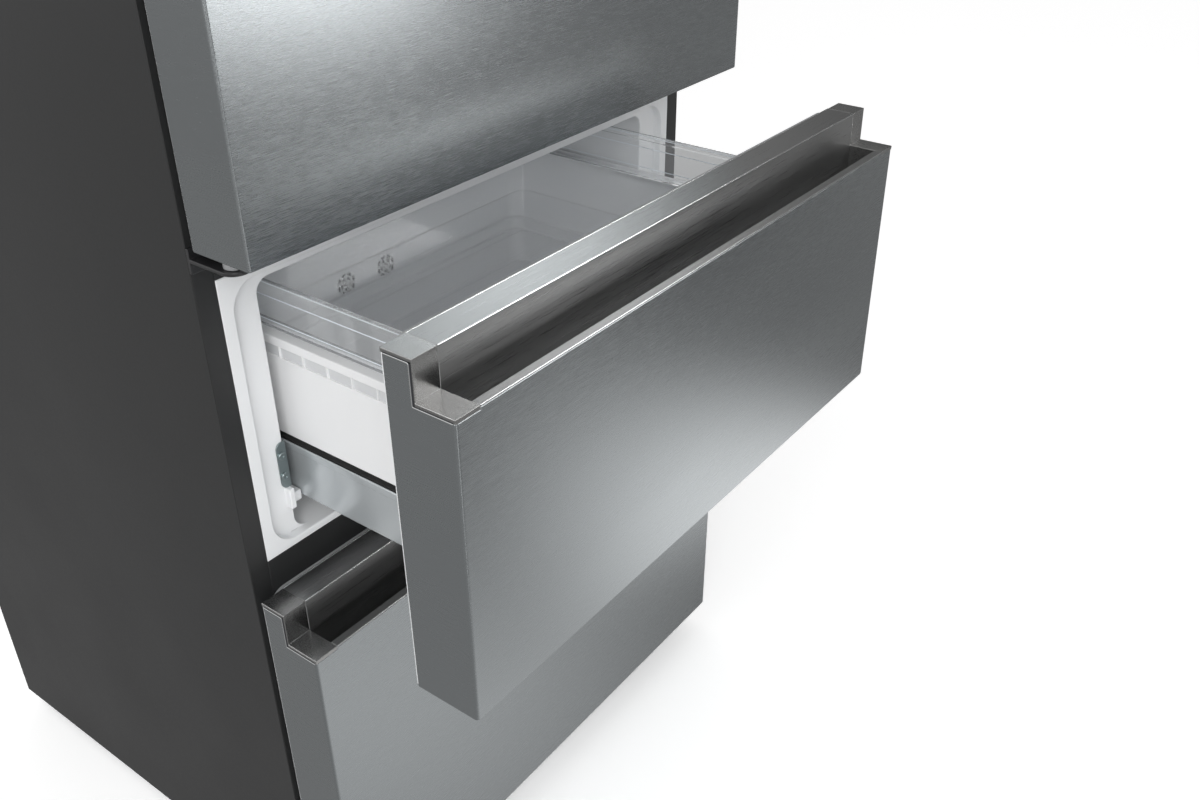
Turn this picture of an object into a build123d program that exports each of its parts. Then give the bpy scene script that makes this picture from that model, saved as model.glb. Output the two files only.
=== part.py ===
from build123d import *

import os
from dataclasses import dataclass

# The frame
# X runs to the right seen from the front, Y to the back and Z up. The origin is on the floor, at the
# centre of the footprint with the middle drawer pulled out as far as it stands at rest.

# Overall size
front_width = 700.0
closed_depth = 676.0
cabinet_top = 1990.0
rest_travel = 201.0
side_inset = 1.0

# Sheets, walls and clearances
sheet = 1.0
pan_wall = 1.5
liner_wall = 2.0
tub_wall = 2.5
clear_wall = 2.0
cover_wall = 2.0
skin_gap = 0.2
seat_gap = 0.3
shaft_gap = 0.05

# How far a cutting solid runs past what it cuts
over = 1.0

# Fronts, counted from the floor up
front_bottom = 45.0
freezer_front_height = 452.0
chill_front_height = 320.5
drawer_gap = 15.0
door_gap = 18.0
door_top_drop = 3.0
front_thickness = 68.0
inner_panel_wall = 2.0
front_corner_radius = 3.0

# Gaskets between the fronts and the cabinet's face
gasket_gap = 10.0
gasket_width = 14.0
gasket_edge_side = 16.0
gasket_edge_bottom = 1.5
gasket_edge_top = 5.0
gasket_radius = 3.0

# Recessed handle along the top of a drawer front
step_height = 35.0
step_depth = 37.3
cap_width = 26.0
cap_rise = 4.0
cap_seam = 3.0
cap_edge_radius = 0.8
lip_width = 8.6
trough_depth = 42.0
trough_radius = 10.0
handle_wall = 1.8

# Face of the cabinet: folded steel edge, crossbars and the liners' flanges
steel_flange = 21.0
top_flange = 28.0
base_flange_rise = 15.0
bar_below_gap = 18.0
bar_above_gap = 14.0
crossbar_depth = 16.0
flange_side = 13.0
flange_top = 10.0
flange_bottom = 8.0
recess_depth = 9.0
recess_radius = 26.0
ceiling_drop = 9.0
cavity_radius = 14.0

# Insulated walls and compartments
cold_wall = 65.0
fridge_wall = 50.0
fridge_back_wall = 64.0
chill_back_wall = 116.0
freezer_back_wall = 76.0

# Machine compartment at the lower back
base_level = 24.0
machine_height = 225.0
machine_depth = 190.0
machine_foam_front = 45.0
machine_foam_roof = 50.0

# Telescopic runners
rail_wall = 1.5
rail_height = 38.0
rail_slack = 0.5
rail_floor_gap = 2.0
rail_lug_gap = 2.0
bar_offset = 13.0
bar_height = 53.0
bar_shelf = 12.0
bar_shelf_drop = 5.0
bar_wall = 1.5
bracket_wall = 2.0
bracket_rise = 20.0
bracket_width = 27.0
plate_wall = 1.5
plate_reach = 9.0
plate_below_middle = 8.5
plate_above_middle = 41.5
plate_radius = 7.0
lug_height = 11.0
lug_length = 27.0
lug_reach = 6.0
lug_front_rise = 22.0
lug_front_depth = 7.0

# Baskets and trays
basket_front_gap = 6.0
basket_radius = 22.0
basket_side_gap = 1.5
shoulder_inset = 6.0
shoulder_rise = 9.0
basket_rim_reach = 2.0
basket_rim_height = 9.0
basket_rim_inside = 15.5
tray_rim_gap = 8.0
tray_front_gap = 6.0
tray_back_gap = 18.0
tray_step_gap = 2.5
tray_end_step = 12.0
tray_rim_height = 7.0
tray_rim_reach = 1.5
tray_sink = 57.0

# Freezer drawer: lifts from the compartment's floor, drops from the handle's lip, gaps at the rear
freezer_rail_lift = 70.0
freezer_rail_back_gap = 9.0
freezer_tub_lift = 20.0
freezer_rim_drop = 132.0
freezer_basket_back_gap = 17.0
freezer_tray_drop = 22.0

# Middle drawer, measured in the same way
chill_rail_lift = 33.0
chill_rail_back_gap = 83.0
chill_tub_lift = 38.0
chill_rim_drop = 63.5
chill_basket_back_gap = 84.0
chill_tray_drop = 15.5

# Hinges of the upper door
hinge_inset = 14.0
hinge_depth = 36.0
hinge_plate = 3.0
hinge_plate_drop = 9.0
hinge_plate_radius = 13.0
hinge_leg_width = 53.0
hinge_leg_clear = 0.5
hinge_leg_drop = 4.0
hinge_pin_radius = 4.0
hinge_pin_reach = 14.0
hinge_bush_radius = 9.0
upper_hinge_radius = 11.0
upper_hinge_length = 78.0
upper_hinge_reach = 80.0
hinge_cover_wall = 1.5
hinge_cover_gap = 0.5
hinge_cover_height = 16.0

# Upper door
door_cap_height = 26.0
grip_from_side = 30.0
grip_width = 180.0
grip_front = 14.0
grip_depth = 36.0
grip_height = 18.0
dyke_side_gap = 14.0
dyke_width = 20.0
dyke_depth = 44.0
dyke_end_gap = 30.0
bin_depth = 100.0
bin_height = 92.0
bin_lug_width = 5.0
bin_lug_height = 6.0
bin_radius = 14.0
bin_floor_gap = 57.5
bin_pitch = 340.0
door_bin_count = 3

# Fridge compartment
crisper_top_gap = 47.2
top_shelf_drop = 193.0
shelf_pitch = 210.0
shelf_least_gap = 100.0
shelf_front = 127.0
shelf_back_gap = 30.0
shelf_wall = 5.0
shelf_side_gap = 2.0
shelf_radius = 8.0
ledge_reach = 12.0
ledge_height = 6.0
duct_width = 240.0
duct_depth = 24.0
duct_floor_gap = 18.0
duct_top_gap = 60.0
duct_slot_width = 60.0
duct_slot_height = 8.0
duct_slot_pitch = 140.0
duct_radius = 8.0
lamp_width = 220.0
lamp_depth = 50.0
lamp_height = 9.0
lamp_from_face = 230.0
panel_width = 260.0
panel_depth = 60.0
panel_height = 14.0
panel_from_face = 24.0
console_radius = 4.0
crisper_side_gap = 19.0
crisper_depth = 330.0
crisper_height = 190.0
crisper_front_wall = 8.0
slider_travel = 36.0
slider_width = 24.0
slider_height = 12.0
slider_wall = 3.0
slider_drop = 22.0
slider_lip = 2.0
slider_grip = 4.0

# Fan, evaporator and their cover
cover_from_rear = 97.0
cover_side_gap = 0.5
fan_drop = 50.0
fan_opening_radius = 44.0
fan_radius = 40.0
fan_hub_radius = 12.0
fan_hub_length = 14.0
fan_from_cover = 6.0
fan_blades = 5
fan_blade_chord = 20.0
fan_blade_wall = 1.6
fan_blade_pitch = 32.0
fan_blade_overlap = 2.0
fan_shaft_radius = 4.0
fan_motor_radius = 26.0
fan_motor_gap = 4.0
return_slots = 9
return_slot_width = 30.0
return_slot_height = 8.0
return_slot_pitch = 52.0
return_slot_rise = 16.0
coil_side_gap = 54.0
coil_from_cover = 14.0
coil_depth = 62.0
coil_height = 50.0
coil_rise = 5.0
coil_fins = 22
coil_fin_wall = 1.0
coil_tube_radius = 4.0
coil_rows = 2
coil_columns = 3

# Machine compartment pieces
compressor_from_side = 189.0
compressor_radius = 72.0
compressor_shell_height = 150.0
compressor_foot = 70.0
compressor_foot_wall = 3.0
grommet_radius = 11.0
grommet_height = 12.0
grommet_bore = 4.0
stub_radius = 4.0
stub_length = 10.0
stub_rise = 34.0
drip_tray_half = 84.0
drip_tray_height = 24.0
drip_tray_radius = 10.0
condenser_tube_radius = 3.0
condenser_loops = 3
condenser_pitch = 24.0
condenser_side_gap = 48.0
condenser_right = 20.0
drier_radius = 9.0
drier_length = 70.0
cover_slots = 22
cover_slot_width = 5.0
cover_slot_height = 90.0
cover_slot_pitch = 18.0
inlet_from_side = 49.0
inlet_width = 30.0
inlet_height = 24.0
inlet_depth = 26.0
inlet_wall = 2.5
inlet_blade = 1.0
inlet_flange = 5.0
inlet_pins = 3

# Feet, rollers and plinth
foot_from_side = 49.0
foot_from_face = 40.0
foot_pad_radius = 18.0
foot_pad_height = 9.0
foot_chamfer = 2.0
foot_stud_radius = 5.0
foot_stud_top = 58.0
foot_boss_radius = 9.0
foot_boss_height = 12.0
roller_from_side = 46.0
roller_from_back = 76.0
roller_radius = 11.0
roller_width = 14.0
axle_radius = 3.0
ear_wall = 2.0
ear_length = 22.0
ear_below_axle = 8.0
roller_side_gap = 1.0
plinth_from_face = 8.0
plinth_wall = 3.0
plinth_bottom = 5.0
plinth_slots = 16
plinth_slot_width = 26.0
plinth_slot_height = 7.0
plinth_slot_pitch = 36.0

# Screws
screw_radius = 4.0
screw_head = 2.0
screw_recess_radius = 1.8
screw_recess_depth = 1.0
hinge_screw_pitch = 13.0
upper_hinge_screws = 3
cover_screw_inset = 12.0
rail_screw_pitch = 22.0


# Planes and levels worked out from the driving sizes
front_y = (rest_travel - closed_depth) / 2
panel_y = front_y + front_thickness
face_y = panel_y + gasket_gap
recess_y = face_y + recess_depth
back_y = front_y + closed_depth
front_half = front_width / 2
cabinet_half = front_half - side_inset
inner_half = cabinet_half - sheet
flange_half = cabinet_half - steel_flange
recess_half = flange_half - flange_side
pan_top = base_level + pan_wall
machine_roof = pan_top + machine_height
machine_y = back_y - machine_depth

freezer_top = front_bottom + freezer_front_height
chill_bottom = freezer_top + drawer_gap
chill_top = chill_bottom + chill_front_height
door_bottom = chill_top + door_gap
door_top = cabinet_top - door_top_drop
hinge_x = -(front_half - hinge_inset)
hinge_y = front_y + hinge_depth
grip_right = front_half - grip_from_side
grip_left = grip_right - grip_width
compressor_x = cabinet_half - compressor_from_side
condenser_left = inner_half - condenser_side_gap
inlet_x = cabinet_half - inlet_from_side
foot_x = cabinet_half - foot_from_side
roller_x = cabinet_half - roller_from_side


@dataclass
class Compartment:
    """One cold space in the cabinet, given by the outline of its liner's flange."""

    wall: float
    flange_low: float
    flange_high: float
    back_wall: float

    @property
    def half(self):
        return cabinet_half - self.wall

    @property
    def floor(self):
        return self.flange_low + flange_bottom

    @property
    def recess_top(self):
        return self.flange_high - flange_top

    @property
    def ceiling(self):
        return self.recess_top - ceiling_drop

    @property
    def rear_y(self):
        return back_y - self.back_wall


@dataclass
class Drawer:
    """One drawer: its front, what it carries and how far it stands open at rest."""

    name: str
    bottom: float
    height: float
    open_by: float
    space: Compartment
    rear_limit: float
    rail_lift: float
    rail_back_gap: float
    tub_lift: float
    rim_drop: float
    basket_back_gap: float
    tray_drop: float

    @property
    def top(self):
        return self.bottom + self.height

    @property
    def lip(self):
        return self.top - step_height

    @property
    def shift(self):
        return -self.open_by

    @property
    def bar_bottom(self):
        return self.space.floor + self.rail_lift

    @property
    def bar_top(self):
        return self.bar_bottom + bar_height

    @property
    def rail_middle(self):
        return self.bar_bottom + bar_height / 2

    @property
    def rail_end(self):
        return self.rear_limit - self.rail_back_gap

    @property
    def bar_x(self):
        return self.space.half - bar_offset

    @property
    def rim(self):
        return self.lip - self.rim_drop

    @property
    def tray_top(self):
        return self.lip - self.tray_drop


freezer_space = Compartment(
    cold_wall, front_bottom + base_flange_rise, freezer_top - bar_below_gap, freezer_back_wall
)
chill_space = Compartment(
    cold_wall, chill_bottom + bar_above_gap, chill_top - bar_below_gap, chill_back_wall
)
fridge_space = Compartment(
    fridge_wall, door_bottom + bar_above_gap, cabinet_top - top_flange, fridge_back_wall
)

step_top = machine_roof + machine_foam_roof
step_y = machine_y - machine_foam_front
dyke_half = fridge_space.half - dyke_side_gap
crisper_half = fridge_space.half - crisper_side_gap
coil_half_width = freezer_space.half - coil_side_gap
bin_levels = [fridge_space.floor + bin_floor_gap + step * bin_pitch for step in range(door_bin_count)]

# The lowest shelf lies over the crisper; the others hang from the ceiling as far down as they fit
lowest_shelf = fridge_space.floor + seat_gap + crisper_height + crisper_top_gap
highest_shelf = fridge_space.ceiling - top_shelf_drop
hung_shelves = int((highest_shelf - lowest_shelf - shelf_least_gap) // shelf_pitch) + 1
shelf_levels = [lowest_shelf]
shelf_levels += [highest_shelf - step * shelf_pitch for step in reversed(range(hung_shelves))]

freezer_drawer = Drawer(
    name="freezer",
    bottom=front_bottom,
    height=freezer_front_height,
    open_by=0.0,
    space=freezer_space,
    rear_limit=step_y,
    rail_lift=freezer_rail_lift,
    rail_back_gap=freezer_rail_back_gap,
    tub_lift=freezer_tub_lift,
    rim_drop=freezer_rim_drop,
    basket_back_gap=freezer_basket_back_gap,
    tray_drop=freezer_tray_drop,
)
chill_drawer = Drawer(
    name="chill",
    bottom=chill_bottom,
    height=chill_front_height,
    open_by=rest_travel,
    space=chill_space,
    rear_limit=chill_space.rear_y,
    rail_lift=chill_rail_lift,
    rail_back_gap=chill_rail_back_gap,
    tub_lift=chill_tub_lift,
    rim_drop=chill_rim_drop,
    basket_back_gap=chill_basket_back_gap,
    tray_drop=chill_tray_drop,
)
drawers = (freezer_drawer, chill_drawer)


def block(x0, x1, y0, y1, z0, z1):
    """Box between two opposite corners."""
    centre = Pos((x0 + x1) / 2, (y0 + y1) / 2, (z0 + z1) / 2)
    return centre * Box(x1 - x0, y1 - y0, z1 - z0)


def wide(half, y0, y1, z0, z1):
    """Box centred on the middle plane."""
    return block(-half, half, y0, y1, z0, z1)


def profile(points, x0, x1):
    """Prism along X with a closed outline of (y, z) points."""
    plane = Plane(origin=(x0, 0, 0), x_dir=(0, 1, 0), z_dir=(1, 0, 0))
    return extrude(plane * make_face(Polyline(*points, close=True)), x1 - x0)


def tunnel(half, y0, y1, z0, z1, radius):
    """Box centred on the middle plane with its edges along Y rounded."""
    body = extrude(RectangleRounded(2 * half, z1 - z0, radius), y1 - y0)
    return Pos(0, y0, (z0 + z1) / 2) * Rot(X=-90) * body


def tub(half, y0, y1, z0, z1, radius):
    """Box centred on the middle plane with its upright edges rounded."""
    body = extrude(RectangleRounded(2 * half, y1 - y0, radius), z1 - z0)
    return Pos(0, (y0 + y1) / 2, z0) * body


def rod_x(x0, x1, y, z, radius):
    """Round bar along X."""
    return Pos((x0 + x1) / 2, y, z) * Rot(Y=90) * Cylinder(radius, x1 - x0)


def rod_y(x, y0, y1, z, radius):
    """Round bar along Y."""
    return Pos(x, (y0 + y1) / 2, z) * Rot(X=90) * Cylinder(radius, y1 - y0)


def rod_z(x, y, z0, z1, radius):
    """Round bar along Z."""
    return Pos(x, y, (z0 + z1) / 2) * Cylinder(radius, z1 - z0)


def mirrored(solid):
    """The same solid on the other side of the middle plane."""
    return mirror(solid, about=Plane.YZ)


def pair(solid):
    """A solid and its mirror image."""
    return [solid, mirrored(solid)]


def frame(half, width, y0, y1, z0, z1, radius):
    """Rounded rectangular ring that lies in an upright plane."""
    outer = tunnel(half, y0, y1, z0, z1, radius + width)
    return outer - tunnel(half - width, y0 - over, y1 + over, z0 + width, z1 - width, radius)


def centred_row(count, pitch):
    """Places of a row of equal steps about zero."""
    return [(index - (count - 1) / 2) * pitch for index in range(count)]


def write(name, *pieces):
    """Write one named sub-part, as one solid or as a group of separate solids."""
    solids = [solid for piece in pieces for solid in piece.solids()]
    shape = solids[0] if len(solids) == 1 else Compound(solids)
    export_step(shape, f"parts/{name}.step")


# Cabinet shell

def outer_cabinet():
    """Two sides and the top folded from one sheet, with the edge turned in at the face."""
    outer = wide(cabinet_half, face_y, back_y, base_level, cabinet_top)
    hollow = wide(inner_half, face_y + sheet, back_y + sheet, base_level - sheet, cabinet_top - sheet)
    mouth = wide(
        flange_half, face_y - sheet, face_y + 2 * sheet, base_level - sheet, fridge_space.flange_high
    )
    return outer - hollow - mouth


def back_panel():
    """Rear sheet that folds in over the machine compartment and down in front of it."""
    rear = wide(inner_half, back_y - sheet, back_y, machine_roof, cabinet_top - sheet)
    roof = wide(inner_half, machine_y - sheet, back_y, machine_roof, machine_roof + sheet)
    wall = wide(inner_half, machine_y - sheet, machine_y, pan_top, machine_roof + sheet)
    return rear + roof + wall


def foot_places():
    """Centres of the two levelling feet."""
    return [(side * foot_x, face_y + foot_from_face) for side in (-1, 1)]


def machine_cover_y():
    """Front of the rear cover, which lies a screw's head deeper than the cabinet's back."""
    return back_y - screw_head - cover_wall


def base_pan():
    """Floor pan with a front edge, threaded bosses for the feet and ears for the roller axle."""
    pan = wide(inner_half, face_y + sheet, machine_cover_y() - seat_gap, base_level, pan_top)
    pan += wide(flange_half, face_y, face_y + pan_wall, base_level, freezer_space.flange_low)
    for x, y in foot_places():
        pan += rod_z(x, y, pan_top, pan_top + foot_boss_height, foot_boss_radius)
        bore = foot_stud_radius + shaft_gap
        pan -= rod_z(x, y, base_level - over, pan_top + foot_boss_height + over, bore)
    axle_y = back_y - roller_from_back
    ear_low = roller_radius - ear_below_axle
    inside = roller_x - roller_width / 2 - roller_side_gap
    outside = roller_x + roller_width / 2 + roller_side_gap
    for x0 in (inside - ear_wall, outside):
        ear = block(
            x0, x0 + ear_wall, axle_y - ear_length / 2, axle_y + ear_length / 2, ear_low, base_level
        )
        ear -= rod_x(x0 - over, x0 + ear_wall + over, axle_y, roller_radius, axle_radius + shaft_gap)
        for solid in pair(ear):
            pan += solid
    return pan


def crossbar(low, high):
    """Steel channel across the cabinet's face between two compartments."""
    rear = face_y + crossbar_depth
    bar = wide(flange_half, face_y, rear, low, high)
    return bar - wide(flange_half + over, face_y + pan_wall, rear + over, low + pan_wall, high - pan_wall)


def crossbar_spans():
    """Lower and upper edges of the two crossbars."""
    return (
        (freezer_space.flange_high, chill_space.flange_low),
        (chill_space.flange_high, fridge_space.flange_low),
    )


def envelope(space, grow):
    """Outside of a liner behind its flange, grown by a clearance."""
    extra = liner_wall + grow
    recess = tunnel(
        recess_half + extra,
        face_y,
        recess_y + extra,
        space.floor - extra,
        space.recess_top + extra,
        recess_radius + extra,
    )
    return recess + cavity(space, extra)


def cavity(space, extra):
    """Cold space of a compartment behind the recess, grown by a wall."""
    edges = (space.floor - extra, space.ceiling + extra, cavity_radius + extra)
    if space is not freezer_space:
        return tunnel(space.half + extra, recess_y, space.rear_y + extra, *edges)
    low_part = tunnel(space.half + extra, recess_y, step_y + extra, *edges)
    high_part = tunnel(
        space.half + extra, recess_y, space.rear_y + extra, step_top - extra, *edges[1:]
    )
    return low_part + high_part


def liner(space):
    """Moulded inner box with a flat flange, a shallow recess and the deep cavity."""
    flange = wide(flange_half, face_y, face_y + liner_wall, space.flange_low, space.flange_high)
    recess = tunnel(
        recess_half, face_y - over, recess_y, space.floor, space.recess_top, recess_radius
    )
    shell = flange + envelope(space, 0) - recess
    return shell - cavity(space, 0)


def fridge_liner():
    """Liner of the upper compartment with a ledge under each end of every shelf."""
    shell = liner(fridge_space)
    half = fridge_space.half
    for level in shelf_levels:
        low = level - ledge_height
        ledge = block(half - ledge_reach, half + liner_wall, shelf_y0(), shelf_y1(), low, level)
        for solid in pair(ledge):
            shell += solid
    return shell


def rail_lugs(drawer):
    """Moulded supports under the fixed rails at the mouth of a compartment."""
    half = drawer.space.half
    top = drawer.rail_middle - rail_height / 2 - seat_gap
    under = block(
        half - bar_offset + over, half + over, recess_y, recess_y + lug_length, top - lug_height, top
    )
    front = block(
        half, half + lug_reach, recess_y - lug_front_depth, recess_y + over, top - lug_height,
        top - lug_height + lug_front_rise,
    )
    return pair(under + front)


def drawer_liner(drawer):
    """Liner of a drawer's compartment with the lugs that carry the runners."""
    shell = liner(drawer.space)
    for lug in rail_lugs(drawer):
        shell += lug
    return shell


def insulation_foam():
    """Foam between the wrapper, the liners and the sheet of the machine compartment."""
    foam = wide(inner_half, face_y + liner_wall, back_y - sheet, pan_top, cabinet_top - sheet)
    for space in (freezer_space, chill_space, fridge_space):
        foam -= envelope(space, skin_gap)
    for low, high in crossbar_spans():
        foam -= wide(flange_half, face_y, face_y + crossbar_depth, low, high)
    foam -= wide(inner_half, machine_y - sheet, back_y, pan_top, machine_roof + sheet)
    for x, y in foot_places():
        foam -= rod_z(x, y, pan_top, foot_stud_top + seat_gap, foot_boss_radius + skin_gap)
    return foam


def plinth_grille():
    """Slotted strip under the front edge of the floor pan."""
    y0 = face_y + plinth_from_face
    strip = wide(inner_half, y0, y0 + plinth_wall, plinth_bottom, base_level)
    middle = (plinth_bottom + base_level) / 2
    for x in centred_row(plinth_slots, plinth_slot_pitch):
        slot = block(
            x - plinth_slot_width / 2, x + plinth_slot_width / 2, y0 - over, y0 + plinth_wall + over,
            middle - plinth_slot_height / 2, middle + plinth_slot_height / 2,
        )
        strip -= slot
    return strip


def levelling_foot(x, y):
    """Round pad with a stud that screws into the floor pan."""
    pad = rod_z(x, y, 0, foot_pad_height, foot_pad_radius)
    pad = chamfer(pad.edges().group_by(Axis.Z)[-1], foot_chamfer)
    return pad + rod_z(x, y, foot_pad_height, foot_stud_top, foot_stud_radius)


def rear_rollers():
    """Two wheels that turn with one long axle."""
    axle_y = back_y - roller_from_back
    wheels = []
    for side in (-1, 1):
        centre = side * roller_x
        x0 = centre - roller_width / 2
        wheels.append(rod_x(x0, x0 + roller_width, axle_y, roller_radius, roller_radius))
    reach = roller_x + roller_width / 2 + roller_side_gap + 2 * ear_wall
    return wheels[0] + wheels[1] + rod_x(-reach, reach, axle_y, roller_radius, axle_radius)


# Hinges

def middle_hinge():
    """Angle bracket on the upper crossbar with a pin that points up into the door."""
    top = door_bottom - hinge_plate_drop
    leg = block(
        -cabinet_half, hinge_leg_width - cabinet_half, face_y - hinge_plate, face_y,
        chill_top - hinge_leg_drop, door_bottom - hinge_leg_clear,
    )
    arm = block(
        hinge_x - hinge_plate_radius, hinge_x + hinge_plate_radius, hinge_y, face_y,
        top - hinge_plate, top,
    )
    nose = rod_z(hinge_x, hinge_y, top - hinge_plate, top, hinge_plate_radius)
    pin = rod_z(hinge_x, hinge_y, top, door_bottom + hinge_pin_reach, hinge_pin_radius)
    return leg + arm + nose + pin


def upper_hinge():
    """Plate on the cabinet's top with a pin that points down into the door."""
    low = cabinet_top
    high = low + hinge_plate
    x0 = hinge_x - upper_hinge_radius
    foot = block(x0, x0 + upper_hinge_length, face_y, face_y + upper_hinge_reach, low, high)
    arm = block(x0, hinge_x + upper_hinge_radius, hinge_y, face_y, low, high)
    nose = rod_z(hinge_x, hinge_y, low, high, upper_hinge_radius)
    pin = rod_z(hinge_x, hinge_y, door_top - hinge_pin_reach, low, hinge_pin_radius)
    return foot + arm + nose + pin


def upper_hinge_cover():
    """Moulded cover over the upper hinge, open underneath."""
    x0 = hinge_x - upper_hinge_radius - hinge_cover_gap
    x1 = x0 + upper_hinge_length + 2 * hinge_cover_gap
    y0 = hinge_y - upper_hinge_radius - hinge_cover_gap
    y1 = face_y + upper_hinge_reach + hinge_cover_gap
    z1 = cabinet_top + hinge_cover_height
    wall = hinge_cover_wall
    outer = block(x0 - wall, x1 + wall, y0 - wall, y1 + wall, cabinet_top, z1)
    outer = fillet(outer.edges().filter_by(Axis.Z), console_radius)
    outer = fillet(outer.faces().sort_by(Axis.Z)[-1].edges(), wall)
    return outer - block(x0, x1, y0, y1, cabinet_top - over, z1 - wall)


# Upper door

def front_skin(bottom, top):
    """Door skin: front and both sides of one sheet."""
    rear = panel_y - inner_panel_wall
    outer = wide(front_half, front_y, rear, bottom, top)
    outer = fillet(outer.edges().filter_by(Axis.Z).group_by(Axis.Y)[0], front_corner_radius)
    hollow = wide(front_half - sheet, front_y + sheet, rear + over, bottom - over, top + over)
    inner_radius = front_corner_radius - sheet
    hollow = fillet(hollow.edges().filter_by(Axis.Z).group_by(Axis.Y)[0], inner_radius)
    return outer - hollow


def door_filling(low, high):
    """Slab that fits inside the door skin."""
    rear = panel_y - inner_panel_wall
    slab = wide(front_half - sheet, front_y + sheet, rear, low, high)
    inner_radius = front_corner_radius - sheet
    return fillet(slab.edges().filter_by(Axis.Z).group_by(Axis.Y)[0], inner_radius + skin_gap)


def hinge_bore(low, high):
    """Running bore on the door's axis."""
    return rod_z(hinge_x, hinge_y, low, high, hinge_pin_radius + shaft_gap)


def door_bottom_cap():
    """Lower end of the door with the hinge bush and a finger pocket in its underside."""
    cap = door_filling(door_bottom, door_bottom + door_cap_height)
    bush_low = door_bottom - hinge_plate_drop + seat_gap
    cap += rod_z(hinge_x, hinge_y, bush_low, door_bottom, hinge_bush_radius)
    cap -= hinge_bore(bush_low - over, door_bottom + hinge_pin_reach + over)
    pocket = block(
        grip_left, grip_right, front_y + grip_front, front_y + grip_front + grip_depth,
        door_bottom - over, door_bottom + grip_height,
    )
    return cap - pocket


def door_top_cap():
    """Upper end of the door with the hinge bush."""
    cap = door_filling(door_top - door_cap_height, door_top)
    bush_high = cabinet_top - seat_gap
    cap += rod_z(hinge_x, hinge_y, door_top, bush_high, hinge_bush_radius)
    return cap - hinge_bore(door_top - hinge_pin_reach - over, bush_high + over)


def door_inner_liner():
    """Moulded back of the door with two upright ridges and a lug under each end of every bin."""
    plate = wide(front_half - sheet, panel_y - inner_panel_wall, panel_y, door_bottom, door_top)
    low = fridge_space.floor + dyke_end_gap
    high = fridge_space.ceiling - dyke_end_gap
    ridge = block(dyke_half - dyke_width, dyke_half, panel_y, panel_y + dyke_depth, low, high)
    ridge = fillet(ridge.edges().filter_by(Axis.Z).group_by(Axis.Y)[-1], console_radius)
    inside = dyke_half - dyke_width
    lug_y1 = panel_y + dyke_depth - console_radius
    for level in bin_levels:
        lug_top = level - seat_gap
        ridge += block(
            inside - bin_lug_width, inside, panel_y, lug_y1, lug_top - bin_lug_height, lug_top
        )
    for solid in pair(ridge):
        plate += solid
    return plate


def door_bins():
    """Open-topped bins that hang between the ridges of the door."""
    half = dyke_half - dyke_width - seat_gap
    bins = []
    for level in bin_levels:
        y0 = panel_y + seat_gap
        outer = tub(half, y0, y0 + bin_depth, level, level + bin_height, bin_radius)
        inner = tub(
            half - tub_wall, y0 + tub_wall, y0 + bin_depth - tub_wall, level + tub_wall,
            level + bin_height + over, bin_radius - tub_wall,
        )
        bins.append(outer - inner)
    return bins


def front_gasket(bottom, top, shift):
    """Seal on the back of a front, just clear of the cabinet's face."""
    half = front_half - gasket_edge_side
    y0 = panel_y + shift
    y1 = face_y - seat_gap + shift
    low = bottom + gasket_edge_bottom
    return frame(half, gasket_width, y0, y1, low, top - gasket_edge_top, gasket_radius)


# Drawer fronts

def stepped_outline(drawer, drop, seam, bottom, front, rear):
    """Side view of a drawer front with its stepped top lowered by a drop."""
    y0 = front_y + drawer.shift
    riser = y0 + step_depth + seam
    return [
        (y0 + front, bottom),
        (y0 + front, drawer.lip - drop),
        (riser, drawer.lip - drop),
        (riser, drawer.top - drop),
        (y0 + rear, drawer.top - drop),
        (y0 + rear, bottom),
    ]


def trough_floor(drawer):
    """Underside of the handle's trough."""
    return drawer.lip - trough_depth - handle_wall


def drawer_skin(drawer):
    """Front, sides and lower edge of one sheet, cut down under the end caps."""
    rear = front_thickness - inner_panel_wall
    outline = stepped_outline(drawer, cap_rise, cap_seam, drawer.bottom, 0, rear)
    outer = profile(outline, -front_half, front_half)
    outer = fillet(outer.edges().filter_by(Axis.Z).group_by(Axis.Y)[0], front_corner_radius)
    hollow_half = front_half - sheet
    y0 = front_y + drawer.shift
    hollow = wide(hollow_half, y0 + sheet, y0 + front_thickness, drawer.bottom + sheet, drawer.top + over)
    hollow = fillet(hollow.edges().filter_by(Axis.Z).group_by(Axis.Y)[0], front_corner_radius - sheet)
    strip = wide(
        front_half - cap_width, y0, y0 + sheet, drawer.lip - cap_rise - over, drawer.lip - handle_wall
    )
    return outer - hollow + strip


def drawer_handle(drawer):
    """Long profile between the end caps: front lip, finger trough, riser and top strip."""
    half = front_half - cap_width
    y0 = front_y + drawer.shift
    lip = y0 + lip_width
    riser = y0 + step_depth
    low = trough_floor(drawer)
    rear = y0 + front_thickness
    body = wide(half, y0, lip, drawer.lip - handle_wall, drawer.lip)
    channel = wide(half, lip - handle_wall, riser + handle_wall, low, drawer.lip)
    hollow_top = drawer.lip + trough_depth
    width = step_depth - lip_width
    hollow = extrude(RectangleRounded(width, 2 * trough_depth, trough_radius), 2 * (half + over))
    turned = Pos(-half - over, (lip + riser) / 2, (low + handle_wall + hollow_top) / 2) * Rot(0, 90, 0)
    channel -= turned * Rot(0, 0, 90) * hollow
    body += channel
    body += wide(half, riser, riser + handle_wall, drawer.lip - handle_wall, drawer.top)
    body += wide(half, riser, rear, drawer.top - handle_wall, drawer.top)
    body += wide(half, rear - handle_wall, rear, drawer.top - cap_rise, drawer.top)
    return body


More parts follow.
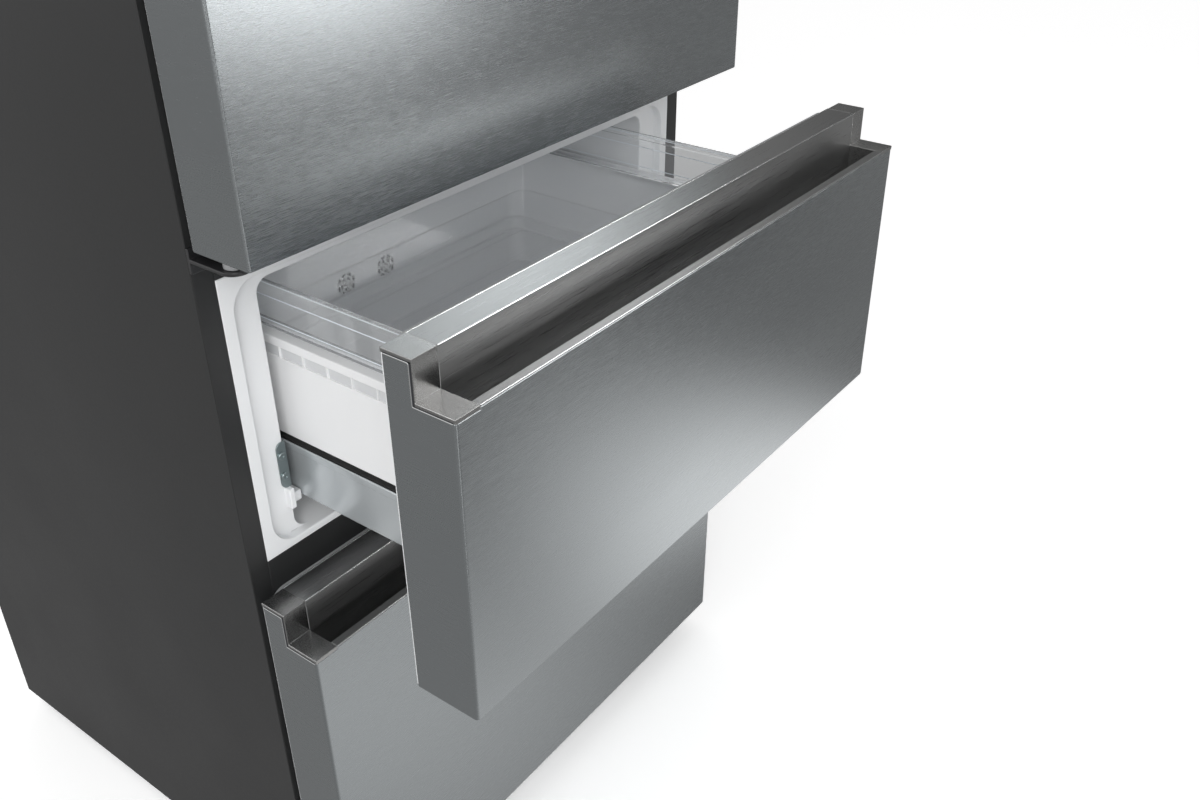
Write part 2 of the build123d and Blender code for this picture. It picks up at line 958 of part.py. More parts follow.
def drawer_end_caps(drawer):
    """Stepped blocks that close both ends of the handle."""
    inside = front_half - cap_width
    full = stepped_outline(drawer, 0, 0, trough_floor(drawer), 0, front_thickness)
    lowered = stepped_outline(drawer, cap_rise, cap_seam, trough_floor(drawer), 0, front_thickness)
    top_layer = profile(full, inside, front_half) - profile(lowered, inside - over, front_half + over)
    top_layer = fillet(top_layer.faces().sort_by(Axis.X)[-1].edges(), cap_edge_radius)
    rear = front_thickness - inner_panel_wall
    core = profile(
        stepped_outline(drawer, cap_rise, cap_seam, trough_floor(drawer), sheet + skin_gap, rear),
        inside,
        front_half - sheet - skin_gap,
    )
    corner = core.edges().filter_by(Axis.Z).group_by(Axis.Y)[0].sort_by(Axis.X)[-1]
    core = fillet(corner, front_corner_radius)
    return pair(core + top_layer)


def drawer_foam(drawer):
    """Foam core under the handle and behind its riser."""
    y0 = front_y + drawer.shift
    rear = y0 + front_thickness - inner_panel_wall
    low = wide(front_half - sheet, y0 + sheet, rear, drawer.bottom + sheet, trough_floor(drawer))
    radius = front_corner_radius - sheet + skin_gap
    low = fillet(low.edges().filter_by(Axis.Z).group_by(Axis.Y)[0], radius)
    high = wide(
        front_half - cap_width, y0 + step_depth + handle_wall, rear, trough_floor(drawer),
        drawer.top - handle_wall,
    )
    return low + high


def drawer_inner_panel(drawer):
    """Moulded back of a drawer front."""
    y1 = panel_y + drawer.shift
    low = drawer.bottom + sheet
    return wide(front_half - sheet, y1 - inner_panel_wall, y1, low, drawer.top - cap_rise)


# Runners

def rail_plane(drawer):
    """Inner plane of the runner under the basket's shelf."""
    return drawer.bar_x - bar_wall - bar_shelf + rail_slack


def rail_section(drawer, near, far, half_height, y0, y1):
    """Channel that opens towards the side bar, given by its distances from the runner's inner plane."""
    x0 = rail_plane(drawer)
    middle = drawer.rail_middle
    outer = block(x0 + near, x0 + far, y0, y1, middle - half_height, middle + half_height)
    inner = block(
        x0 + near + rail_wall, x0 + far + over, y0 - over, y1 + over,
        middle - half_height + rail_wall, middle + half_height - rail_wall,
    )
    return outer - inner


def fixed_rail(drawer):
    """Cabinet member: strip on the cavity wall, cradle under the side bar, channel and screw plate."""
    x_wall = drawer.space.half
    x0 = rail_plane(drawer)
    middle = drawer.rail_middle
    low = middle - rail_height / 2
    floor = drawer.bar_bottom - rail_floor_gap - rail_wall
    y0 = recess_y + lug_length + rail_lug_gap
    y1 = drawer.rail_end
    rail = block(x_wall - rail_wall, x_wall, recess_y, y1, low, middle + rail_height / 2)
    rail += block(x0, x_wall, y0, y1, floor, low)
    rail -= block(
        x0 + rail_wall, x_wall - rail_wall, y0 - over, y1 + over, floor + rail_wall, low + over
    )
    rail += rail_section(drawer, 0, bar_shelf - 2 * rail_slack, rail_height / 2, y0, y1)
    plate = block(
        x_wall - rail_wall, x_wall + plate_reach, recess_y - plate_wall, recess_y,
        middle - plate_below_middle, middle + plate_above_middle,
    )
    plate = fillet(plate.edges().filter_by(Axis.Y).group_by(Axis.X)[-1], plate_radius)
    return pair(rail + plate)


def middle_rail(drawer):
    """Travelling member between the cabinet's rail and the drawer's rail."""
    shift = drawer.shift / 2
    near = rail_wall + rail_slack
    rail = rail_section(
        drawer, near, bar_shelf - 3 * rail_slack, rail_height / 2 - near, recess_y + shift,
        drawer.rail_end + shift,
    )
    return pair(rail)


def side_bar(drawer):
    """Drawer member: deep side bar, shelf for the basket, running rail and front bracket."""
    y0 = panel_y + drawer.shift
    y1 = drawer.rail_end + drawer.shift - rail_slack
    outside = drawer.bar_x
    inside = outside - bar_wall
    low = drawer.bar_bottom
    high = drawer.bar_top
    bar = block(inside, outside, y0, y1, low, high)
    shelf_top = high - bar_shelf_drop
    bar += block(inside - bar_shelf, inside, y0, y1, shelf_top - bar_wall, shelf_top)
    near = 2 * (rail_wall + rail_slack)
    half_height = rail_height / 2 - near
    rail_x0 = rail_plane(drawer) + near
    rail_y0 = recess_y + drawer.shift
    runner = block(
        rail_x0, inside, rail_y0, y1,
        drawer.rail_middle - half_height, drawer.rail_middle + half_height,
    )
    runner -= block(
        rail_x0 + rail_wall, inside, rail_y0 - over, y1 + over,
        drawer.rail_middle - half_height + rail_wall, drawer.rail_middle + half_height - rail_wall,
    )
    bracket = block(outside - bracket_width, outside, y0, y0 + bracket_wall, low, high + bracket_rise)
    return pair(bar + runner + bracket)


# Baskets and trays

def basket_y0(drawer):
    """Front of a basket."""
    return panel_y + drawer.shift + basket_front_gap


def basket_y1(drawer):
    """Rear of a basket."""
    return drawer.rear_limit + drawer.shift - drawer.basket_back_gap


def basket_half(drawer):
    """Half width of a basket's upper part."""
    return drawer.bar_x - bar_wall - basket_side_gap


def basket_opening(drawer):
    """Half width of a basket's mouth inside its rim."""
    return basket_half(drawer) - basket_rim_inside


def basket(drawer):
    """Stepped tub that hangs with its shoulders on the side bars, with a flat rim."""
    half = basket_half(drawer)
    shelf_inside = drawer.bar_x - bar_wall - bar_shelf
    shelf_top = drawer.bar_top - bar_shelf_drop
    y0 = basket_y0(drawer)
    y1 = basket_y1(drawer)
    floor = drawer.space.floor + drawer.tub_lift
    levels = (
        (shelf_inside - basket_side_gap / 2, floor),
        (half - shoulder_inset, shelf_top + seat_gap),
        (half, drawer.bar_top + shoulder_rise),
    )
    body = None
    hollow = None
    inset = half - levels[0][0]
    for part_half, low in levels:
        step = half - part_half
        outer = tub(part_half, y0 + step, y1 - step, low, drawer.rim, basket_radius)
        inner = tub(
            part_half - tub_wall, y0 + step + tub_wall, y1 - step - tub_wall, low + tub_wall,
            drawer.rim - tub_wall, basket_radius - tub_wall,
        )
        body = outer if body is None else body + outer
        hollow = inner if hollow is None else hollow + inner
    reach = basket_rim_reach
    rim_low = drawer.rim - basket_rim_height
    rim = tub(half + reach, y0 - reach, y1 + reach, rim_low, drawer.rim, basket_radius)
    mouth = tub(
        half - basket_rim_inside, y0 + basket_rim_inside, y1 - basket_rim_inside,
        drawer.rim - tub_wall - inset, drawer.rim + over, basket_radius - basket_rim_inside / 2,
    )
    return body + rim - hollow - mouth


def tray(drawer):
    """Clear tray that stands on the basket's rim and reaches down inside it."""
    half = basket_half(drawer) - tray_rim_gap
    low_half = basket_opening(drawer) - tray_step_gap
    side_step = half - low_half
    y0 = basket_y0(drawer) + tray_front_gap
    y1 = basket_y1(drawer) - tray_back_gap
    seat = drawer.rim + seat_gap
    floor = drawer.rim - tray_sink
    top = drawer.tray_top
    radius = basket_radius - tray_rim_gap
    outer = tub(half, y0, y1, seat, top, radius)
    outer += tub(low_half, y0 + tray_end_step, y1 - tray_end_step, floor, seat + clear_wall, radius)
    wall = clear_wall
    inner = tub(half - wall, y0 + wall, y1 - wall, seat + wall, top + over, radius - wall)
    inner += tub(
        low_half - wall, y0 + tray_end_step + wall, y1 - tray_end_step - wall, floor + wall,
        seat + side_step + wall, radius - wall,
    )
    reach = tray_rim_reach
    rim = tub(half + reach, y0 - reach, y1 + reach, top - tray_rim_height, top, radius)
    return outer + rim - inner


# Fridge compartment

def shelf_y0():
    """Front edge of the shelves."""
    return face_y + shelf_front


def shelf_y1():
    """Rear edge of the shelves, clear of the air duct."""
    return fridge_space.rear_y - shelf_back_gap


def fridge_shelves():
    """Glass shelves that lie on the liner's ledges; the lowest covers the crisper."""
    half = fridge_space.half - shelf_side_gap
    panes = []
    for level in shelf_levels:
        low = level + seat_gap
        panes.append(tub(half, shelf_y0(), shelf_y1(), low, low + shelf_wall, shelf_radius))
    return panes


def air_duct():
    """Raised channel on the rear wall with a row of outlets over each shelf."""
    y1 = fridge_space.rear_y
    y0 = y1 - duct_depth
    low = shelf_levels[0] + duct_floor_gap
    high = fridge_space.ceiling - duct_top_gap
    duct = wide(duct_width / 2, y0, y1, low, high)
    duct = fillet(duct.edges().filter_by(Axis.Z).group_by(Axis.Y)[0], duct_radius)
    duct -= wide(
        duct_width / 2 - cover_wall, y0 + cover_wall, y1 + over, low + cover_wall, high - cover_wall
    )
    rows = int((high - low) // duct_slot_pitch)
    for row in range(rows):
        z = low + (row + 0.5) * duct_slot_pitch
        for side in (-1, 1):
            x = side * duct_slot_width * 3 / 4
            duct -= block(
                x - duct_slot_width / 2, x + duct_slot_width / 2, y0 - over, y0 + cover_wall + over,
                z - duct_slot_height / 2, z + duct_slot_height / 2,
            )
    return duct


def ceiling_lamp():
    """Light under the ceiling of the fridge compartment."""
    y0 = face_y + lamp_from_face
    z1 = fridge_space.ceiling
    lamp = wide(lamp_width / 2, y0, y0 + lamp_depth, z1 - lamp_height, z1)
    return fillet(lamp.faces().sort_by(Axis.Z)[0].edges(), console_radius)


def control_panel():
    """Touch panel under the ceiling behind the door."""
    y0 = face_y + panel_from_face
    z1 = fridge_space.ceiling
    panel = wide(panel_width / 2, y0, y0 + panel_depth, z1 - panel_height, z1)
    return fillet(panel.faces().sort_by(Axis.Z)[0].edges(), console_radius)


def crisper_y0():
    """Front of the crisper drawer."""
    return shelf_y0() + seat_gap


def slider_top():
    """Upper edge of the vent slider's track."""
    return fridge_space.floor + seat_gap + crisper_height - slider_drop


def slider_track():
    """Undercut groove in the crisper's front, long enough for the slider and its travel."""
    half = (slider_width + slider_travel) / 2 + seat_gap
    y0 = crisper_y0()
    top = slider_top()
    low = top - slider_height - 2 * seat_gap
    mouth = wide(half, y0 - over, y0 + slider_lip, low + slider_lip, top - slider_lip)
    deep = wide(half, y0 + slider_lip, y0 + slider_lip + slider_wall + 2 * seat_gap, low, top)
    return mouth + deep


def crisper():
    """Wide clear drawer on the floor of the fridge compartment, with a track for its vent slider."""
    half = crisper_half
    y0 = crisper_y0()
    y1 = y0 + crisper_depth
    low = fridge_space.floor + seat_gap
    high = low + crisper_height
    outer = tub(half, y0, y1, low, high, bin_radius)
    inner = tub(
        half - tub_wall, y0 + crisper_front_wall, y1 - tub_wall, low + tub_wall, high + over,
        bin_radius - tub_wall,
    )
    return outer - inner - slider_track()


def humidity_slider():
    """Slider at the left end of the crisper's track."""
    x0 = -(slider_width + slider_travel) / 2
    y0 = crisper_y0() + slider_lip + seat_gap
    top = slider_top() - seat_gap
    low = top - slider_height
    body = block(x0, x0 + slider_width, y0, y0 + slider_wall, low, top)
    middle = x0 + slider_width / 2
    stem = block(
        middle - slider_grip / 2, middle + slider_grip / 2, crisper_y0() - slider_grip, y0,
        low + slider_lip + seat_gap, top - slider_lip - seat_gap,
    )
    return body + stem


# Cold air: cover, fan and evaporator

def cover_y():
    """Front of the cover before the evaporator."""
    return freezer_space.rear_y - cover_from_rear


def fan_z():
    """Height of the fan's axis."""
    return freezer_space.ceiling - fan_drop


def evaporator_cover():
    """Rear panel of the freezer with the fan's opening and a row of return slots."""
    y0 = cover_y()
    half = freezer_space.half - cover_side_gap
    low = step_top + cover_side_gap
    panel = tunnel(half, y0, y0 + cover_wall, low, freezer_space.ceiling - cover_side_gap, cavity_radius)
    panel -= rod_y(0, y0 - over, y0 + cover_wall + over, fan_z(), fan_opening_radius)
    for x in centred_row(return_slots, return_slot_pitch):
        z = low + return_slot_rise
        panel -= block(
            x - return_slot_width / 2, x + return_slot_width / 2, y0 - over, y0 + cover_wall + over,
            z, z + return_slot_height,
        )
    return panel


def fan_blade():
    """Hub and blades of the circulation fan."""
    y0 = cover_y() + fan_from_cover
    hub = rod_y(0, y0, y0 + fan_hub_length, fan_z(), fan_hub_radius)
    length = fan_radius - fan_hub_radius + fan_blade_overlap
    reach = fan_hub_radius - fan_blade_overlap + length / 2
    for index in range(fan_blades):
        blade = Pos(reach, 0, 0) * Rot(X=fan_blade_pitch) * Box(length, fan_blade_wall, fan_blade_chord)
        turned = Rot(Y=index * 360 / fan_blades) * blade
        hub += Pos(0, y0 + fan_hub_length / 2, fan_z()) * turned
    return hub - rod_y(0, y0 - over, y0 + fan_hub_length + over, fan_z(), fan_shaft_radius + shaft_gap)


def fan_motor():
    """Motor on the rear wall with the shaft that carries the fan."""
    y0 = cover_y() + fan_from_cover
    y1 = y0 + fan_hub_length + fan_motor_gap
    motor = rod_y(0, y1, freezer_space.rear_y, fan_z(), fan_motor_radius)
    return motor + rod_y(0, y0, y1, fan_z(), fan_shaft_radius)


def evaporator():
    """Block of fins on rows of tube."""
    y0 = cover_y() + cover_wall + coil_from_cover
    low = step_top + coil_rise
    fins = [
        block(x, x + coil_fin_wall, y0, y0 + coil_depth, low, low + coil_height)
        for x in centred_row(coil_fins, 2 * coil_half_width / coil_fins)
    ]
    body = None
    for column in range(coil_columns):
        for row in range(coil_rows):
            y = y0 + (column + 0.5) * coil_depth / coil_columns
            z = low + (row + 0.5) * coil_height / coil_rows
            tube = rod_x(-coil_half_width, coil_half_width, y, z, coil_tube_radius)
            body = tube if body is None else body + tube
    for fin in fins:
        body += fin
    foot = wide(coil_half_width / 2, y0, y0 + coil_depth, step_top, low + coil_fin_wall)
    return body + foot


# Machine compartment

def compressor_y():
    """Centre line of the compressor."""
    return (machine_y + machine_cover_y()) / 2


def compressor_base():
    """Underside of the compressor's feet."""
    return pan_top + grommet_height


def compressor():
    """Welded dome-shaped shell on a foot plate, with the discharge stub."""
    y = compressor_y()
    low = compressor_base()
    plate = block(
        compressor_x - compressor_foot, compressor_x + compressor_foot, y - compressor_foot,
        y + compressor_foot, low, low + compressor_foot_wall,
    )
    shell = rod_z(compressor_x, y, low, low + compressor_shell_height, compressor_radius)
    shell = fillet(shell.edges().group_by(Axis.Z)[-1], compressor_radius / 2)
    stub_z = low + stub_rise
    x0 = compressor_x - compressor_radius - stub_length
    stub = rod_x(x0, compressor_x, y, stub_z, stub_radius)
    return shell + plate + stub


def compressor_mounts():
    """Rubber grommets under the four corners of the foot plate."""
    reach = compressor_foot - grommet_radius
    mounts = []
    for side in (-1, 1):
        for end in (-1, 1):
            x = compressor_x + side * reach
            y = compressor_y() + end * reach
            ring = rod_z(x, y, pan_top, compressor_base(), grommet_radius)
            mounts.append(ring - rod_z(x, y, pan_top - over, compressor_base() + over, grommet_bore))
    return mounts


def drip_tray():
    """Open tray on top of the compressor that takes the defrost water."""
    low = compressor_base() + compressor_shell_height + seat_gap
    y = compressor_y()
    half = drip_tray_half
    outer = tub(half, y - half, y + half, low, low + drip_tray_height, drip_tray_radius)
    inner_half = drip_tray_half - cover_wall
    inner = tub(
        inner_half, y - inner_half, y + inner_half, low + cover_wall, low + drip_tray_height + over,
        drip_tray_radius - cover_wall,
    )
    return Pos(compressor_x, 0, 0) * (outer - inner)


def return_bend(x, y, z, side):
    """Half ring that joins two passes of the condenser, bulging to one side."""
    bend = condenser_pitch / 2
    reach = 2 * condenser_pitch
    ring = Pos(x, y, z + bend) * Rot(X=90) * Torus(bend, condenser_tube_radius)
    return ring & (Pos(x + side * reach / 2, y, z + bend) * Box(reach, reach, 2 * reach))


def condenser_circuit():
    """Serpentine tube that starts at the compressor's stub and ends in the drier."""
    y = compressor_y()
    first = compressor_base() + stub_rise
    start = compressor_x - compressor_radius - stub_length - seat_gap
    coil = rod_x(-condenser_left, start, y, first, condenser_tube_radius)
    coil += return_bend(-condenser_left, y, first, -1)
    for index in range(1, 2 * condenser_loops):
        z = first + index * condenser_pitch
        coil += rod_x(-condenser_left, -condenser_right, y, z, condenser_tube_radius)
        if index + 1 < 2 * condenser_loops:
            at_right = index % 2 == 1
            x = -condenser_right if at_right else -condenser_left
            coil += return_bend(x, y, z, 1 if at_right else -1)
    last = first + (2 * condenser_loops - 1) * condenser_pitch
    drier = rod_x(-condenser_right, drier_length - condenser_right, y, last, drier_radius)
    return [coil, drier]


def machine_cover():
    """Rear cover of the machine compartment with upright vent slots and the inlet's opening."""
    y0 = machine_cover_y()
    y1 = y0 + cover_wall
    cover = wide(inner_half - seat_gap, y0, y1, base_level, machine_roof - seat_gap)
    middle = (base_level + machine_roof) / 2
    for x in centred_row(cover_slots, cover_slot_pitch):
        cover -= block(
            x - cover_slot_width / 2, x + cover_slot_width / 2, y0 - over, y1 + over,
            middle - cover_slot_height / 2, middle + cover_slot_height / 2,
        )
    half_width = inlet_width / 2 + seat_gap
    half_height = inlet_height / 2 + seat_gap
    return cover - block(
        -inlet_x - half_width, -inlet_x + half_width, y0 - over, y1 + over,
        middle - half_height, middle + half_height,
    )


def mains_inlet():
    """Three-pin inlet socket in the machine cover."""
    middle = (base_level + machine_roof) / 2
    half_width = inlet_width / 2
    half_height = inlet_height / 2
    x0 = -inlet_x - half_width
    x1 = -inlet_x + half_width
    y0 = back_y - inlet_depth
    body = block(x0, x1, y0, back_y, middle - half_height, middle + half_height)
    flange_y = machine_cover_y() - seat_gap
    body += block(
        x0 - inlet_flange, x1 + inlet_flange, flange_y - cover_wall, flange_y,
        middle - half_height - inlet_flange, middle + half_height + inlet_flange,
    )
    body -= block(
        x0 + inlet_wall, x1 - inlet_wall, y0 + inlet_wall, back_y + over,
        middle - half_height + inlet_wall, middle + half_height - inlet_wall,
    )
    for offset in centred_row(inlet_pins, inlet_width / 4):
        x = -inlet_x + offset
        blade = block(
            x - inlet_blade, x + inlet_blade, y0, back_y - 2 * inlet_wall,
            middle - 2 * inlet_blade, middle + 2 * inlet_blade,
        )
        body += blade
    return body


# Screws

def screw(x, y, z, turn):
    """Pan head with a round recess; the head stands up along Z before it is turned."""
    head = Cylinder(screw_radius, screw_head, align=(Align.CENTER, Align.CENTER, Align.MIN))
    head = fillet(head.edges().group_by(Axis.Z)[-1], screw_head / 2)
    socket = Pos(0, 0, screw_head - screw_recess_depth) * Cylinder(
        screw_recess_radius, 2 * screw_recess_depth, align=(Align.CENTER, Align.CENTER, Align.MIN)
    )
    return Pos(x, y, z) * turn * (head - socket)


def cabinet_screws():
    """Screws of the hinges, the rail plates and the machine cover."""
    to_front = Rot(X=90)
    to_back = Rot(X=-90)
    upright = Rot(X=0)
    places = []
    top = cabinet_top + hinge_plate
    middle_y = face_y + upper_hinge_reach / 2
    for offset in centred_row(upper_hinge_screws, hinge_screw_pitch * 3 / 2):
        x = hinge_x - upper_hinge_radius + upper_hinge_length / 2 + offset
        places.append((x, middle_y, top, upright))
    leg_y = face_y - hinge_plate
    leg_z = (chill_top - hinge_leg_drop + door_bottom - hinge_leg_clear) / 2
    for index in range(2):
        x = hinge_leg_width - cabinet_half - hinge_screw_pitch * (index + 0.5)
        places.append((x, leg_y, leg_z, to_front))
    for drawer in drawers:
        plate_middle = drawer.rail_middle + (plate_above_middle - plate_below_middle) / 2
        x = drawer.space.half + plate_reach / 2
        for offset in centred_row(2, rail_screw_pitch):
            for side in (-1, 1):
                places.append((side * x, recess_y - plate_wall, plate_middle + offset, to_front))
    edge = inner_half - cover_screw_inset
    for side in (-1, 1):
        for z in (base_level + cover_screw_inset, machine_roof - cover_screw_inset):
            places.append((side * edge, back_y - screw_head, z, to_back))
    return [screw(*place) for place in places]


def main():
    """Build every sub-part and write it under its name."""
    os.makedirs("parts", exist_ok=True)
    write("outer_cabinet", outer_cabinet())
    write("back_panel", back_panel())
    write("base_pan", base_pan())
    write("insulation_foam", insulation_foam())
    write("crossbars", *[crossbar(low, high) for low, high in crossbar_spans()])
    write("fridge_liner", fridge_liner())
    write("plinth_grille", plinth_grille())
    write("middle_hinge", middle_hinge())
    write("upper_hinge", upper_hinge())
    write("upper_hinge_cover", upper_hinge_cover())
    for name, (x, y) in zip(("foot_left", "foot_right"), foot_places()):
        write(name, levelling_foot(x, y))
    write("rear_rollers", rear_rollers())

    write("door_skin", front_skin(door_bottom, door_top))
    write("door_foam", door_filling(door_bottom + door_cap_height, door_top - door_cap_height))
    write("door_bottom_cap", door_bottom_cap())
    write("door_top_cap", door_top_cap())
    write("door_inner_liner", door_inner_liner())
    write("door_gasket", front_gasket(door_bottom, door_top, 0))
    write("door_bins", *door_bins())

    for drawer in drawers:
        name = drawer.name
        write(f"{name}_liner", drawer_liner(drawer))
        write(f"{name}_front_skin", drawer_skin(drawer))
        write(f"{name}_handle", drawer_handle(drawer))
        write(f"{name}_end_caps", *drawer_end_caps(drawer))
        write(f"{name}_front_foam", drawer_foam(drawer))
        write(f"{name}_inner_panel", drawer_inner_panel(drawer))
        write(f"{name}_gasket", front_gasket(drawer.bottom, drawer.top, drawer.shift))
        write(f"{name}_side_bars", *side_bar(drawer))
        write(f"{name}_middle_rails", *middle_rail(drawer))
        write(f"{name}_basket", basket(drawer))
        write(f"{name}_tray", tray(drawer))
    write("fixed_rails", *[rail for drawer in drawers for rail in fixed_rail(drawer)])

    write("fridge_shelves", *fridge_shelves())
    write("air_duct", air_duct())
    write("ceiling_lamp", ceiling_lamp())
    write("control_panel", control_panel())
    write("crisper", crisper())
    write("humidity_slider", humidity_slider())

    write("evaporator_cover", evaporator_cover())
    write("fan_blade", fan_blade())
    write("fan_motor", fan_motor())
    write("evaporator", evaporator())

    write("compressor", compressor())
    write("compressor_mounts", *compressor_mounts())
    write("drip_tray", drip_tray())
    write("condenser_circuit", *condenser_circuit())
    write("machine_cover", machine_cover())
    write("mains_inlet", mains_inlet())
    write("cabinet_screws", *cabinet_screws())


if __name__ == "__main__":
    main()
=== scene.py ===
"""Dressed model of a fridge freezer: one door above two drawers, the middle drawer pulled out."""

import logging
import math
from contextlib import contextmanager
from dataclasses import dataclass
from enum import Enum
from typing import Callable, Iterable, Iterator, Sequence

import bmesh
import bpy
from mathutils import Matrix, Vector


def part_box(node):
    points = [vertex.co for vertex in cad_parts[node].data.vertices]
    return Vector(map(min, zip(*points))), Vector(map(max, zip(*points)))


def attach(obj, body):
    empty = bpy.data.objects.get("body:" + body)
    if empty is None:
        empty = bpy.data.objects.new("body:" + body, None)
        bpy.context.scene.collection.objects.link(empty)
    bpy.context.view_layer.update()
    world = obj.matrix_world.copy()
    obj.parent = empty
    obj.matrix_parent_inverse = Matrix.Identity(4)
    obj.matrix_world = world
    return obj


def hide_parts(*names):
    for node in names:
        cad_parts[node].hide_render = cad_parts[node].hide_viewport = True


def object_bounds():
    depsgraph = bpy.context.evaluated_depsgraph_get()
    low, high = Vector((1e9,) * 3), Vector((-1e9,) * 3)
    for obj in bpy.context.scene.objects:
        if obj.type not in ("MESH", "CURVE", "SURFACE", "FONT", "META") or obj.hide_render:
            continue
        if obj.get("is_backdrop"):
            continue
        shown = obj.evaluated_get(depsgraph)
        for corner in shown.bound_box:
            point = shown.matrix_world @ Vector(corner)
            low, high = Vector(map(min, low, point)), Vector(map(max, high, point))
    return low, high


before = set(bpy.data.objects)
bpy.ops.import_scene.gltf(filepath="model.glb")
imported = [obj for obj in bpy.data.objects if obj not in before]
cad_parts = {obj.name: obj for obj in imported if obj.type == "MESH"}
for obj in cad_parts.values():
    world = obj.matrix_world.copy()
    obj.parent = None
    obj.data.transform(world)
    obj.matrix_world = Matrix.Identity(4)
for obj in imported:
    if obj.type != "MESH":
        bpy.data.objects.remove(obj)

Triple = tuple[float, float, float]
Pair = tuple[float, float]
Loop = list[tuple[Pair, Pair]]
Piece = bpy.types.Object
Mesh = bpy.types.Mesh
Node = bpy.types.Node
Socket = bpy.types.NodeSocket
log = logging.getLogger("fridge_freezer")

MM = 0.001
FULL_TURN = 2 * math.pi
QUARTER_TURN = math.pi / 2
# The rounding of edges is made narrower by these shares until less area than this overlaps itself.
EDGE_SHARES = (1.0, 0.7, 0.5, 0.35, 0.2, 0.1)
MOST_FOLDED = 60 * MM * MM
# Points closer than this are one point; faces that bend less than this are one face.
WELD_DISTANCE = 2e-6
NEW_WELD_DISTANCE = 1e-7
FLAT_ANGLE = math.radians(0.4)
# Levels closer than this are one level.
SAME_LEVEL = 1e-4
PURE_WHITE = (1.0, 1.0, 1.0, 1.0)


class Plane(Enum):
    """The plane that a loop lies in."""

    LEVEL = "XY"
    UPRIGHT = "XZ"


class Texture(Enum):
    """The surface that a mould leaves on plastic, as its depth in millimetres."""

    POLISHED = 0.008
    SPARK = 0.03
    LEATHERED = 0.05


# Node trees


class NodeSheet:
    """An emptied node tree, with a short way to add and join nodes."""

    def __init__(self, tree: bpy.types.NodeTree) -> None:
        """Take a tree over and empty it."""
        self.tree = tree
        tree.nodes.clear()

    def feed(self, target: Socket, value: object) -> None:
        """Give an input a value, or link another socket to it.

        Args:
            target: The input.
            value: The value or the socket.
        """
        if isinstance(value, Socket):
            self.tree.links.new(value, target)
        else:
            target.default_value = value

    def add(self, kind: str, options: dict | None = None, inputs: dict | None = None) -> Node:
        """Add a node.

        Args:
            kind: The node's Blender type.
            options: Properties to set on the node.
            inputs: Input sockets by name or index, each with a value or a socket to link.

        Returns:
            The new node.
        """
        node = self.tree.nodes.new(kind)
        for key, value in (options or {}).items():
            setattr(node, key, value)
        for key, value in (inputs or {}).items():
            self.feed(node.inputs[key], value)
        return node


